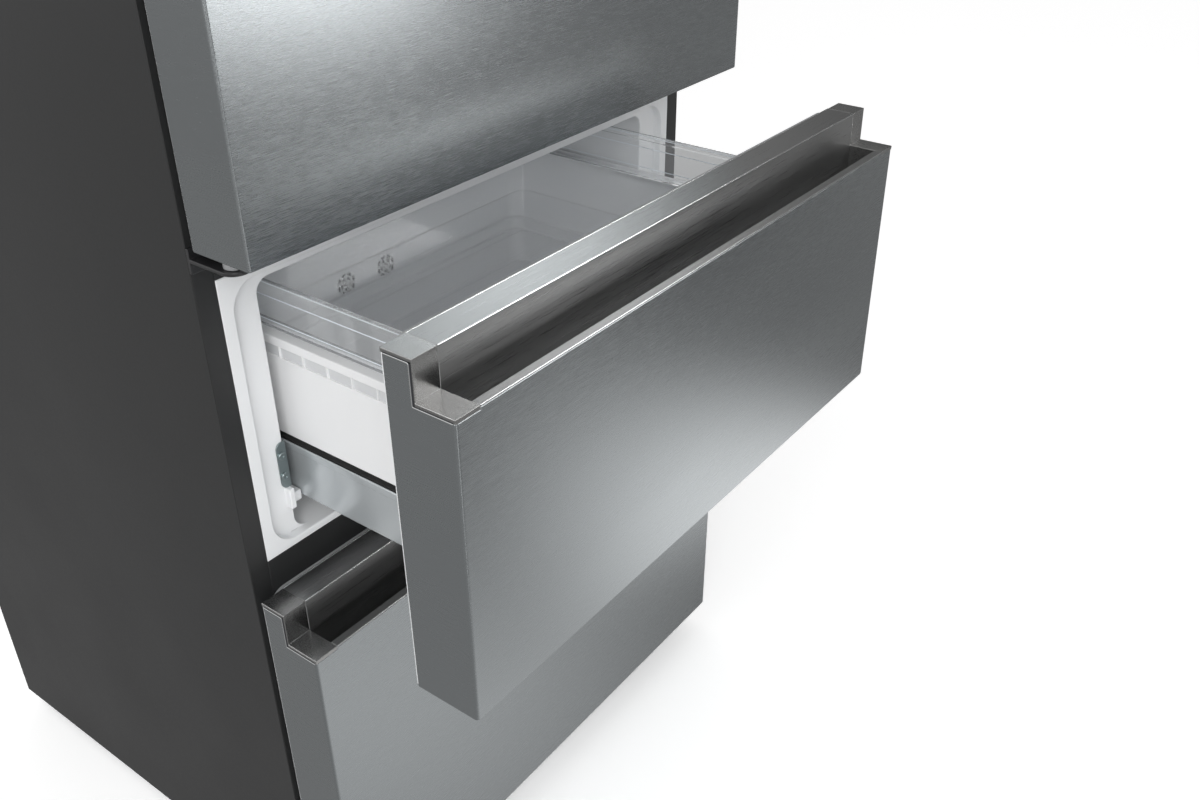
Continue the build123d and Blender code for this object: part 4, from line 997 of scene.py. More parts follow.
class Pattern(NodeSheet):
    """A Geometry Nodes tree that repeats a small form, and the plain mesh it grows."""

    def __init__(self, name: str, inputs: dict[str, str],
                 build: Callable[["Pattern", Node], Socket]) -> None:
        """Make the tree.

        Args:
            name: The tree's name.
            inputs: The socket type of each input.
            build: Adds the nodes and returns the geometry that they end in.
        """
        super().__init__(bpy.data.node_groups.new(name, "GeometryNodeTree"))
        interface = self.tree.interface
        interface.new_socket("Geometry", in_out="OUTPUT", socket_type="NodeSocketGeometry")
        self.keys = {}
        for label, kind in {**inputs, "Material": "Material"}.items():
            given = interface.new_socket(label, in_out="INPUT", socket_type=f"NodeSocket{kind}")
            self.keys[label] = given.identifier
        source = self.add("NodeGroupInput")
        real = self.add("GeometryNodeRealizeInstances", None, {"Geometry": build(self, source)})
        painted = self.add("GeometryNodeSetMaterial", None, {
            "Geometry": real.outputs[0], "Material": source.outputs["Material"]})
        result = self.add("NodeGroupOutput")
        self.tree.links.new(painted.outputs[0], result.inputs[0])

    def grow(self, name: str, finish: Finish, **values: float | Triple) -> Piece:
        """Grow a plain mesh from the tree.

        Args:
            name: The piece's name.
            finish: Its finish.
            values: The tree's inputs.

        Returns:
            The new piece.
        """
        piece = new_piece(name, bpy.data.meshes.new(name))
        modifier = piece.modifiers.new("pattern", "NODES")
        modifier.node_group = self.tree
        modifier[self.keys["Material"]] = finish.material()
        for key, value in values.items():
            modifier[self.keys[key]] = value
        settle(piece)
        return piece


def row_nodes(pattern: Pattern, source: Node) -> Socket:
    """Blocks in a straight row.

    Args:
        pattern: The tree.
        source: Its input node.

    Returns:
        The blocks' geometry.
    """
    line = pattern.add("GeometryNodeMeshLine", {"mode": "OFFSET"}, {
        "Count": source.outputs["Count"], "Start Location": source.outputs["Start"],
        "Offset": source.outputs["Step"]})
    block = pattern.add("GeometryNodeMeshCube", None, {"Size": source.outputs["Size"]})
    return pattern.add("GeometryNodeInstanceOnPoints", None, {
        "Points": line.outputs["Mesh"], "Instance": block.outputs["Mesh"]}).outputs[0]


def ring_nodes(pattern: Pattern, source: Node) -> Socket:
    """Curved slots or rods in a ring, which is then laid in its place.

    Args:
        pattern: The tree.
        source: Its input node.

    Returns:
        The ring's geometry.
    """
    given = source.outputs
    arc = pattern.add("GeometryNodeCurveArc", {"mode": "RADIUS"}, {
        "Resolution": 9, "Radius": given["Radius"], "Sweep Angle": given["Sweep"]})
    outline = pattern.add("GeometryNodeCurvePrimitiveQuadrilateral", {"mode": "RECTANGLE"}, {
        "Width": given["Width"], "Height": given["Depth"]})
    bar = pattern.add("GeometryNodeCurveToMesh", None, {
        "Curve": arc.outputs["Curve"], "Profile Curve": outline.outputs["Curve"],
        "Fill Caps": True})
    spots = pattern.add("GeometryNodePoints", None, {"Count": given["Count"]})
    index = pattern.add("GeometryNodeInputIndex")
    share = pattern.add("ShaderNodeMath", {"operation": "DIVIDE"}, {
        0: index.outputs[0], 1: given["Count"]})
    angle = pattern.add("ShaderNodeMath", {"operation": "MULTIPLY_ADD"}, {
        0: share.outputs[0], 1: FULL_TURN, 2: given["Turn"]})
    spin = pattern.add("ShaderNodeCombineXYZ", None, {"Z": angle.outputs[0]})
    copies = pattern.add("GeometryNodeInstanceOnPoints", None, {
        "Points": spots.outputs[0], "Instance": bar.outputs[0], "Rotation": spin.outputs[0]})
    laid = pattern.add("GeometryNodeTransform", None, {
        "Geometry": copies.outputs[0], "Translation": given["Centre"],
        "Rotation": given["Facing"]})
    return laid.outputs[0]


ROW = Pattern("row_of_blocks", {
    "Count": "Int", "Start": "Vector", "Step": "Vector", "Size": "Vector"}, row_nodes)
RING = Pattern("ring_of_arcs", {
    "Count": "Int", "Radius": "Float", "Sweep": "Float", "Width": "Float", "Depth": "Float",
    "Turn": "Float", "Centre": "Vector", "Facing": "Vector"}, ring_nodes)


# Sub-assemblies. Their edge widths and the profiles written as bare pairs are in millimetres.


@dataclass
class Assembly:
    """A group of pieces that ride on one body."""

    body: str

    def place(self, piece: Piece, finish: Finish, slot: str, *nodes: str) -> Piece:
        """Give a finished piece its finish and body.

        Args:
            piece: The piece.
            finish: Its finish.
            slot: The record's material slot; not used.
            nodes: CAD nodes that it stands for.

        Returns:
            The piece.
        """
        piece.data.materials.clear()
        piece.data.materials.append(finish.material())
        unwrap(piece)
        if nodes:
            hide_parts(*nodes)
        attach(piece, self.body)
        log.info("%s rides on %s with %d faces", piece.name, self.body, len(piece.data.polygons))
        return piece

    def carry(self, node: str, finish: Finish, slot: str, edge: float = 0.5,
              segments: int = 2) -> Piece:
        """Carry a CAD node over with rounded edges and smooth curves.

        Args:
            node: The node's name.
            finish: Its finish.
            slot: The record's material slot.
            edge: Width of the rounding in millimetres.
            segments: Faces across the rounding.

        Returns:
            The new piece.
        """
        piece = new_piece(f"{node}_dressed", merged_copy(node))
        soften(piece, edge * MM, segments)
        return self.place(piece, finish, slot, node)

    def carry_all(self, *rows: tuple) -> None:
        """Carry CAD nodes over, each from a row of what carry takes."""
        for row in rows:
            self.carry(*row)

    def keep(self, node: str, finish: Finish) -> None:
        """Leave a CAD node as it is, with a better material.

        Args:
            node: The node's name.
            finish: Its finish.
        """
        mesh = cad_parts[node].data
        mesh.materials.clear()
        mesh.materials.append(finish.material())

    def add(self, piece: Piece, finish: Finish, slot: str, edge: float = 0.0) -> Piece:
        """Add a piece of detail, its edges rounded by a width in millimetres."""
        soften(piece, edge * MM)
        return self.place(piece, finish, slot)


@dataclass
class OnePiece(Assembly):
    """A body with one piece, of the same name."""

    finish: Finish
    slot: str
    edge: float

    def build(self) -> None:
        """Dress the piece."""
        self.carry(self.body, self.finish, self.slot, self.edge)


@dataclass
class Cabinet(Assembly):
    """The outer steel, the foam, the liners, the crossbars, the plinth and the hinges."""

    steel_edge: float = 0.7
    liner_edge: float = 1.2
    bead_insets: Pair = (45 * MM, 85 * MM)
    bead_corner: float = 110 * MM
    bead_profile: tuple[Pair, ...] = ((0, -0.2), (0, 0.1), (-4, 1.2), (-8, 0.1), (-8, -0.2))

    def build(self) -> None:
        """Dress the cabinet."""
        self.keep("insulation_foam", FOAM)
        self.carry_all(
            ("outer_cabinet", CABINET, "cabinet_paint", self.steel_edge, 3),
            ("crossbars", FLANGE, "cabinet_paint", self.steel_edge),
            ("back_panel", GALVANISED, "hidden_steel", 0.3),
            ("base_pan", GALVANISED, "hidden_steel", 0.3),
            ("fridge_liner", WHITE, "white_plastic", self.liner_edge, 3),
            ("chill_liner", WHITE, "white_plastic", self.liner_edge, 3),
            ("freezer_liner", WHITE, "white_plastic", self.liner_edge, 3),
            ("plinth_grille", BLACK, "black_plastic", 0.4),
            ("upper_hinge", ZINC, "zinc", 0.4),
            ("upper_hinge_cover", BLACK, "black_plastic", 0.9, 3),
            ("middle_hinge", BLACK_PAINT, "zinc", 0.4),
            ("cabinet_screws", RAIL, "zinc", 0.25),
            ("fixed_rails", RAIL, "rail_steel", 0.3),
        )
        self.back_beads()

    def back_beads(self) -> None:
        """Pressed stiffening beads in the rear sheet."""
        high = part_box("back_panel")[1]
        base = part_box("machine_cover")[1].z
        profile = millimetres(*self.bead_profile)
        beads = []
        for inset in self.bead_insets:
            loop = rounded_loop(high.x - inset, base + inset, high.z - inset,
                                self.bead_corner - inset)
            beads.append(swept("bead", loop, profile, Plane.UPRIGHT, high.y))
        self.add(joined("back_panel_beads", beads), GALVANISED, "hidden_steel")


@dataclass
class FridgeInterior(Assembly):
    """Shelves, air duct, lamp, control panel and crisper."""

    # Each corner of a shelf's lip: out from the pane, up, and from its underside (0) or top (1).
    lip: tuple[tuple[float, float, int], ...] = (
        (1.6, -2.2, 0), (2.4, -1.2, 0), (2.4, 2.4, 1), (1.4, 3.4, 1), (-1.2, 3.2, 1), (-5, 0.9, 1),
        (-8, 0.2, 1), (0, 0.2, 1), (0, -0.2, 0), (-8, -0.2, 0), (-8, -1.6, 0),
    )
    lip_inset: float = 10 * MM
    bezel_inset: float = 5 * MM
    bezel_corner: float = 6 * MM
    bezel_profile: tuple[Pair, ...] = ((0, 0.2), (0, -1.0), (-2, -1.0), (-2, 0.2))
    field_insets: Pair = (14 * MM, 2.5 * MM)
    field_depths: Pair = (0.3 * MM, 0.6 * MM)
    touch_points: int = 5
    touch_pitch: float = 30 * MM
    touch_rise: float = 0.35 * MM
    touch_size: Triple = (5 * MM, 0.2 * MM, 1.4 * MM)
    crisper_corner: float = 14 * MM
    rim_profile: tuple[Pair, ...] = ((0, 0), (1.6, 0), (1.6, 5), (0.9, 6), (0, 6))
    rim_drop: float = 6.5 * MM
    rib_count: int = 18
    rib_inset: float = 45 * MM
    rib_rise: float = 0.5 * MM
    rib_level: float = 40 * MM
    rib_size: Triple = (2 * MM, 1.2 * MM, 60 * MM)

    def build(self) -> None:
        """Dress the fridge compartment."""
        self.carry("fridge_shelves", GLASS, "shelf_glass", 0.5)
        self.shelf_trims()
        self.carry_all(
            ("air_duct", WHITE, "white_plastic", 0.8, 3),
            ("ceiling_lamp", LENS, "white_plastic", 1.0, 3),
            ("control_panel", GREY, "grey_plastic", 0.8, 3),
        )
        self.lamp_and_panel()
        self.carry("crisper", CLEAR, "clear_plastic", 0.5)
        self.crisper_details()

    def shelf_trims(self) -> None:
        """A lip along the front of each pane and a rail along its rear."""
        low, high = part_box("fridge_shelves")
        levels = heights("fridge_shelves")
        start, end = low.x + self.lip_inset, high.x - self.lip_inset
        lips = []
        for pane in zip(levels[0::2], levels[1::2]):
            for y, out in ((low.y, -1), (high.y, 1)):
                outline = [(y + out * a * MM, pane[side] + b * MM) for a, b, side in self.lip]
                lips.append(prism("lip", outline, 0, start, end))
        self.add(joined("shelf_trims", lips), GREY, "grey_plastic", 0.3)

    def lamp_and_panel(self) -> None:
        """A bezel under the lamp; a glossy field with a row of touch points in the panel."""
        low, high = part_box("ceiling_lamp")
        inset = self.bezel_inset
        loop = rounded_loop(high.x - inset, low.y + inset, high.y - inset, self.bezel_corner)
        bezel = swept("lamp_bezel", loop, millimetres(*self.bezel_profile), Plane.LEVEL, low.z)
        self.add(bezel, WHITE, "white_plastic", 0.3)
        low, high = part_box("control_panel")
        across, up = self.field_insets
        front, back = self.field_depths
        outline = oblong(low.y - front, low.y + back, low.z + up, high.z - up)
        field = prism("control_field", outline, 0, low.x + across, high.x - across)
        self.add(field, GLOSS_BLACK, "black_plastic", 0.15)
        left = -self.touch_pitch * (self.touch_points - 1) / 2
        dots = ROW.grow("control_touch_points", LENS, Count=self.touch_points,
                        Start=(left, low.y - self.touch_rise, (low.z + high.z) / 2),
                        Step=(self.touch_pitch, 0.0, 0.0), Size=self.touch_size)
        self.place(dots, LENS, "white_plastic")

    def crisper_details(self) -> None:
        """A rim bead round the crisper and ribs in its front."""
        low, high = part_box("crisper")
        bead = swept("crisper_rim", rounded_loop(high.x, low.y, high.y, self.crisper_corner),
                     millimetres(*self.rim_profile), Plane.LEVEL, high.z - self.rim_drop)
        self.add(bead, CLEAR, "clear_plastic", 0.2)
        step = (high.x - low.x - 2 * self.rib_inset) / (self.rib_count - 1)
        start = (low.x + self.rib_inset, low.y - self.rib_rise, low.z + self.rib_level)
        ribs = ROW.grow("crisper_ribs", CLEAR, Count=self.rib_count, Start=start,
                        Step=(step, 0.0, 0.0), Size=self.rib_size)
        self.place(ribs, CLEAR, "clear_plastic")


@dataclass
class Front(Assembly):
    """What a door and a drawer front have in common."""

    seal_width: float = 14 * MM
    seal_radius: float = 17 * MM
    seal_shape: tuple[Pair, ...] = (
        (-0.10, 0.0), (-0.22, 0.12), (-0.02, 0.30), (-0.02, 0.42), (-0.16, 0.50), (0.0, 0.62),
        (0.0, 0.96), (-0.05, 1.0), (-0.95, 1.0), (-1.0, 0.96), (-1.0, 0.62), (-0.84, 0.50),
        (-0.98, 0.42), (-0.98, 0.30), (-0.78, 0.12), (-0.90, 0.0),
    )

    def seal(self, node: str) -> None:
        """Replace a plain seal by one with a folded bellows, shaped in shares of its size.

        Args:
            node: The seal's node.
        """
        low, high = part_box(node)
        loop = rounded_loop(high.x, low.z, high.z, self.seal_radius, 6)
        depth = high.y - low.y
        profile = [(out * self.seal_width, back * depth) for out, back in self.seal_shape]
        ring = swept(f"{node}_bellows", loop, profile, Plane.UPRIGHT, low.y)
        soften(ring, 0.0)
        self.place(ring, SEAL, "gasket", node)


@dataclass
class Door(Front):
    """The fridge door with its bins."""

    bin_height: float = 92 * MM
    bin_corner: float = 14 * MM
    band_height: float = 8 * MM
    band_drop: float = 8.4 * MM
    band_thickness: float = 0.25 * MM

    def build(self) -> None:
        """Dress the door."""
        self.keep("door_foam", FOAM)
        self.carry_all(
            ("door_skin", STAINLESS, "stainless", 0.7, 3),
            ("door_inner_liner", WHITE, "white_plastic", 1.2, 3),
            ("door_top_cap", GREY, "grey_plastic", 0.6),
            ("door_bottom_cap", GREY, "grey_plastic", 0.6),
        )
        self.seal("door_gasket")
        self.carry("door_bins", CLEAR, "clear_plastic", 0.6)
        self.bin_bands()

    def bin_bands(self) -> None:
        """A metal band round the rim of each bin."""
        low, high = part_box("door_bins")
        tops = heights("door_bins")
        rims = [top for top in tops
                if any(abs(top - base - self.bin_height) < SAME_LEVEL for base in tops)]
        loop = rounded_loop(high.x, low.y, high.y, self.bin_corner)
        profile = oblong(0, self.band_thickness, 0, self.band_height)
        bands = [swept("band", loop, profile, Plane.LEVEL, top - self.band_drop) for top in rims]
        self.add(joined("door_bin_bands", bands), ZINC, "zinc")


@dataclass
class DrawerFront(Front):
    """A drawer's front: skin, handle trough, end caps, back panel and seal."""

    name: str = "chill"
    step_depth: float = 37.3 * MM
    step_height: float = 35 * MM
    cap_rise: float = 4 * MM
    cap_seam: float = 3 * MM
    edge_radius: float = 0.9 * MM
    rear_radius: float = 0.45 * MM
    edge_sink: float = 0.35
    bead_radius: float = 0.7 * MM
    bead_ease: float = 1.6 * MM
    bead_sink: float = 0.2 * MM
    rear_gap: float = 3 * MM
    front_gap: float = 2 * MM
    # How far the black strips of painted shadow stand out from the skin, and their rise and reach.
    gap_shade_depth: float = 0.25 * MM
    gap_shade_rise: Pair = (0.5 * MM, 1.2 * MM)
    gap_shade_reach: Pair = (2.3 * MM, 0.5 * MM)

    def build(self) -> None:
        """Dress the drawer's front."""
        self.keep(f"{self.name}_front_foam", FOAM)
        self.carry_all(
            (f"{self.name}_front_skin", STAINLESS, "stainless", 0.6, 3),
            (f"{self.name}_handle", TRIM, "trim", 0.6, 3),
            (f"{self.name}_end_caps", CAST, "trim", 0.7, 3),
            (f"{self.name}_inner_panel", WHITE, "white_plastic", 0.6),
        )
        self.seal(f"{self.name}_gasket")
        self.edge_beads()
        self.cap_lines()

    def edge_beads(self) -> None:
        """Rolled edges along the handle's strip and lip, in a lighter metal that paints a highlight
        on them.
        """
        low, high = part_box(f"{self.name}_handle")
        riser, lip = low.y + self.step_depth, high.z - self.step_height
        beads = []
        for y, z, way, radius in (
                (riser, high.z, 1, self.edge_radius), (high.y, high.z, -1, self.rear_radius),
                (low.y, lip, 1, self.rear_radius)):
            sink = radius * self.edge_sink
            outline = [(y + way * sink + out, z - sink + up) for out, up in circle(radius, 12)]
            beads.append(prism("edge", outline, 0, low.x, high.x))
        self.add(joined(f"{self.name}_handle_edges", beads), POLISHED, "trim")

    def cap_lines(self) -> None:
        """A bead in lighter metal that paints a highlight, and black strips that paint the shadow in
        the gap between each end cap and the folded skin.
        """
        low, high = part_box(f"{self.name}_handle")
        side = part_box(f"{self.name}_front_skin")[1].x
        y, top = low.y + self.step_depth + self.cap_seam, high.z - self.cap_rise
        bottom, front, rear = top - self.step_height, low.y + self.front_gap, high.y - self.rear_gap
        path = eased(((rear, top), (y, top), (y, bottom), (front, bottom)), self.bead_ease)
        (near, far), (start, end) = self.gap_shade_rise, self.gap_shade_reach
        # Black strips of painted shadow along the gap: over the cap's top, down its step and along
        # the lip.
        strips = (
            (y - start, rear, top + near, top + far),
            (y - start, y - end, bottom + near, top + far),
            (front, y - end, bottom + near, bottom + far),
        )
        beads, gap_shades = [], []
        for sign in (-1, 1):
            plane = sign * (side - self.bead_sink)
            beads.append(piped("bead", path, plane, self.bead_radius))
            ends = sorted((plane, sign * (side + self.gap_shade_depth)))
            gap_shades += [prism("seam", oblong(*strip), 0, *ends) for strip in strips]
        self.add(joined(f"{self.name}_cap_beads", beads), POLISHED, "trim")
        self.place(joined(f"{self.name}_cap_gap_shades", gap_shades), SHADE_BLACK, "black_plastic")


@dataclass
class DrawerStore(Assembly):
    """A drawer's basket and its clear tray."""

    name: str = "chill"
    wall: float = 2.5 * MM
    reach: float = 2 * MM
    band: float = 9 * MM
    pocket_height: float = 11 * MM
    pitch: float = 30.8 * MM
    rib: float = 1.1 * MM
    corner: float = 22 * MM
    bead_height: float = 1.2 * MM
    back_thickness: Pair = (-0.2 * MM, 0.15 * MM)
    tray_corner: float = 14 * MM
    tray_inset: float = 1.5 * MM
    line_profile: tuple[Pair, ...] = ((0, 0), (0.5, 0.25), (0.5, 0.75), (0, 1.0))
    line_shares: tuple[float, ...] = (0.16, 0.66, 0.94)

    def build(self) -> None:
        """Dress the basket and the tray."""
        self.carry(f"{self.name}_basket", BASKET, "white_plastic", 0.8, 3)
        self.pockets()
        self.carry(f"{self.name}_tray", CLEAR_TRAY, "clear_plastic", 0.5)
        self.tray_lines()

    def pockets(self) -> None:
        """Ribs, back plates and a lower bead that make a row of pockets under the rim; the back
        plates' darker grey is painted shade.
        """
        low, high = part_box(f"{self.name}_basket")
        side = high.x - self.reach
        front, rear = low.y + self.reach, high.y - self.reach
        top = high.z - self.band
        middle, bottom = top - self.pocket_height / 2, top - self.pocket_height
        along = int((rear - front - 2 * self.corner) / self.pitch) + 1
        across = int((2 * side - 2 * self.corner) / self.pitch) + 1
        first_along = (front + rear) / 2 - (along - 1) / 2 * self.pitch
        first_across = -(across - 1) / 2 * self.pitch
        out = self.reach / 2
        rows = [
            (along, (x, first_along, middle), (0.0, self.pitch, 0.0), (self.reach, self.rib))
            for x in (-side - out, side + out)
        ] + [
            (across, (first_across, y, middle), (self.pitch, 0.0, 0.0), (self.rib, self.reach))
            for y in (front - out, rear + out)
        ]
        ribs = [
            ROW.grow("ribs", BASKET, Count=count, Start=start, Step=step,
                     Size=(*size, self.pocket_height)) for count, start, step, size in rows
        ]
        self.place(joined(f"{self.name}_basket_ribs", ribs), BASKET, "white_plastic")
        loop = rounded_loop(side, front, rear, self.corner)
        edge = self.reach * 0.8
        profile = ((0, 0), (edge, 0.2 * MM), (edge, 1.0 * MM), (0, self.bead_height))
        bead = swept(f"{self.name}_basket_bead", loop, profile, Plane.LEVEL,
                     bottom - self.bead_height)
        self.add(bead, BASKET, "white_plastic")
        # The backs take the darker grey as painted shade in the pockets.
        plate = oblong(*self.back_thickness, 0, self.pocket_height)
        back = swept(f"{self.name}_pocket_backs", loop, plate, Plane.LEVEL, bottom)
        self.add(back, POCKET_SHADE, "white_plastic")

    def tray_lines(self) -> None:
        """Beads round the clear tray, in pale opaque plastic that paints the bright highlight along
        its rims.
        """
        low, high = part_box(f"{self.name}_tray")
        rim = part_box(f"{self.name}_basket")[1].z
        inset = self.tray_inset
        loop = rounded_loop(high.x - inset, low.y + inset, high.y - inset, self.tray_corner)
        profile = millimetres(*self.line_profile)
        lines = [swept("line", loop, profile, Plane.LEVEL, rim + (high.z - rim) * share)
                 for share in self.line_shares]
        self.add(joined(f"{self.name}_tray_lines", lines), TRAY_HIGHLIGHT, "clear_plastic")


@dataclass
class ChillStore(DrawerStore):
    """The middle drawer's basket, which has two vent rosettes in its rear wall."""

    rosette_x: float = 31 * MM
    rosette_z: float = 642 * MM
    slot_depth: float = 0.5 * MM
    ring_turn: float = 0.5
    # Each ring of slots: their number, its radius, the share of it that they take, their width.
    rings: tuple[tuple[int, float, float, float], ...] = (
        (8, 11.4, 0.66, 3.1), (5, 6.6, 0.6, 3.0), (3, 2.4, 0.7, 2.0))

    def build(self) -> None:
        """Dress the basket, the tray and the rosettes."""
        super().build()
        self.rosettes()

    def rosettes(self) -> None:
        """Rings of slots in painted shade: black pieces standing for the dark vent holes."""
        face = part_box("chill_basket")[1].y - self.reach - self.wall
        for index, sign in enumerate((-1, 1)):
            rings = [
                RING.grow("ring", SHADE_BLACK, Count=count, Radius=radius * MM,
                          Sweep=FULL_TURN / count * share, Width=width * MM,
                          Depth=self.slot_depth, Turn=ring * self.ring_turn,
                          Centre=(sign * self.rosette_x, face, self.rosette_z),
                          Facing=(QUARTER_TURN, 0.0, 0.0))
                for ring, (count, radius, share, width) in enumerate(self.rings)
            ]
            self.place(joined(f"vent_rosette_{index + 1}", rings), SHADE_BLACK, "black_plastic")


@dataclass
class SideBars(Assembly):
    """The deep side bars that carry a basket."""

    name: str = "chill"
    bracket_rise: float = 20 * MM
    basket_gap: float = 1.0 * MM
    end_gap: float = 0.5 * MM
    lip: tuple[Pair, ...] = (
        (-1.5, 3.0), (-0.6, 3.7), (0.4, 3.4), (1.0, 2.4), (1.0, -3.4), (0.2, -4.4), (-0.4, -4.4),
        (-0.4, -1.0),
    )
    strip: tuple[Pair, ...] = ((-9, -1.5), (-2.5, -1.5), (-1.8, 4.4), (-8, 4.4))

    def build(self) -> None:
        """Dress the bars, their rolled lips and the black strips along the bars' tops under the
        basket.
        """
        node = f"{self.name}_side_bars"
        self.carry(node, BAR, "bar_paint", 0.4, 3)
        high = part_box(node)[1]
        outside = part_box(f"{self.name}_basket")[1].x + self.basket_gap
        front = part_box(f"{self.name}_inner_panel")[1].y + self.end_gap
        top, rear = high.z - self.bracket_rise, high.y - self.end_gap
        for label, profile, finish, slot in (
                ("bar_lips", self.lip, BAR, "bar_paint"),
                ("black_strips", self.strip, RUBBER, "rubber")):
            bars = []
            for sign in (-1, 1):
                outline = [(sign * (outside + a), top + b) for a, b in millimetres(*profile)]
                bars.append(prism(label, outline, 1, front, rear))
            self.add(joined(f"{self.name}_{label}", bars), finish, slot, 0.2)


@dataclass
class ColdAirUnit(Assembly):
    """Evaporator, its cover, the fan's motor and the guard over the fan."""

    guard_radius: float = 44 * MM
    guard_gap: float = 0.8 * MM
    # Just short of a full turn, so that a hoop's ends don't fall together.
    hoop_sweep: float = 6.2831
    hoop_shares: tuple[float, ...] = (0.3, 0.53, 0.76, 0.98)
    hoop_size: Pair = (1.4 * MM, 1.2 * MM)
    spoke_count: int = 4
    spoke_share: float = 0.99
    spoke_half: float = 0.7 * MM
    spoke_depths: Pair = (0.4 * MM, 1.6 * MM)

    def build(self) -> None:
        """Dress the unit."""
        self.carry_all(
            ("evaporator", FIN, "fins", 0.0),
            ("evaporator_cover", WHITE, "white_plastic", 0.8, 3),
            ("fan_motor", BLACK, "black_plastic", 0.8),
        )
        low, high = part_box("fan_blade")
        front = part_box("evaporator_cover")[0].y + self.guard_gap
        centre = ((low.x + high.x) / 2, front, (low.z + high.z) / 2)
        hoops = [
            RING.grow("hoop", WHITE, Count=1, Radius=self.guard_radius * share,
                      Sweep=self.hoop_sweep, Width=self.hoop_size[0], Depth=self.hoop_size[1],
                      Turn=0.0, Centre=centre, Facing=(QUARTER_TURN, 0.0, 0.0))
            for share in self.hoop_shares
        ]
        spokes = [self.spoke(centre, turn * math.pi / self.spoke_count)
                  for turn in range(self.spoke_count)]
        self.place(joined("fan_guard", hoops + spokes), WHITE, "white_plastic")

    def spoke(self, centre: Triple, angle: float) -> Piece:
        """A flat bar right across the guard.

        Args:
            centre: The guard's centre.
            angle: The bar's slope in radians.

        Returns:
            The new piece.
        """
        x, z = math.cos(angle), math.sin(angle)
        half = self.guard_radius * self.spoke_share
        corners = [
            (centre[0] + end * half * x - edge * z, centre[1] + depth,
             centre[2] + end * half * z + edge * x)
            for end in (-1, 1)
            for edge in (-self.spoke_half, self.spoke_half)
            for depth in self.spoke_depths
        ]
        faces = [(0, 1, 3, 2), (4, 6, 7, 5), (0, 4, 5, 1), (2, 3, 7, 6), (0, 2, 6, 4), (1, 5, 7, 3)]
        return from_faces("spoke", corners, faces)


@dataclass
class MachineRoom(Assembly):
    """Compressor, condenser, drip tray, rear cover and mains inlet."""

    shell_x: float = 0.16
    seam_height: float = 0.095
    seam_profile: tuple[Pair, ...] = ((71.6, -2), (73.5, -1.2), (74.1, 0), (73.5, 1.2), (71.6, 2))

    def build(self) -> None:
        """Dress the machine compartment."""
        self.carry("compressor", BLACK_PAINT, "black_paint", 4.0, 4)
        self.weld_seam()
        self.carry_all(
            ("compressor_mounts", RUBBER, "rubber", 0.8),
            ("drip_tray", BLACK, "black_plastic", 0.6),
            ("condenser_circuit", BLACK_PAINT, "black_paint", 0.0),
            ("machine_cover", GALVANISED, "hidden_steel", 0.3),
            ("mains_inlet", BLACK, "black_plastic", 0.3),
        )

    def weld_seam(self) -> None:
        """The weld bead round the compressor's shell."""
        low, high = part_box("compressor")
        centre = (self.shell_x, (low.y + high.y) / 2, low.z + self.seam_height)
        bead = turned("compressor_weld", centre, millimetres(*self.seam_profile), 64)
        self.add(bead, BLACK_PAINT, "black_paint")


# Studio


@dataclass(frozen=True)
class Lamp:
    """One soft rectangular lamp, which the camera doesn't see."""

    name: str
    place: Triple
    aim: Triple
    width: float
    height: float
    power: float
    reflected_only: bool = False

    def hang(self) -> None:
        """Put the lamp in the scene."""
        data = bpy.data.lights.new(self.name, "AREA")
        data.shape = "RECTANGLE"
        data.size = self.width
        data.size_y = self.height
        data.energy = self.power
        lamp = bpy.data.objects.new(self.name, data)
        lamp.location = self.place
        beam = Vector(self.aim) - Vector(self.place)
        lamp.rotation_euler = beam.to_track_quat("-Z", "Y").to_euler()
        lamp.visible_camera = False
        lamp.visible_diffuse = not self.reflected_only
        lamp.visible_transmission = not self.reflected_only
        bpy.context.scene.collection.objects.link(lamp)


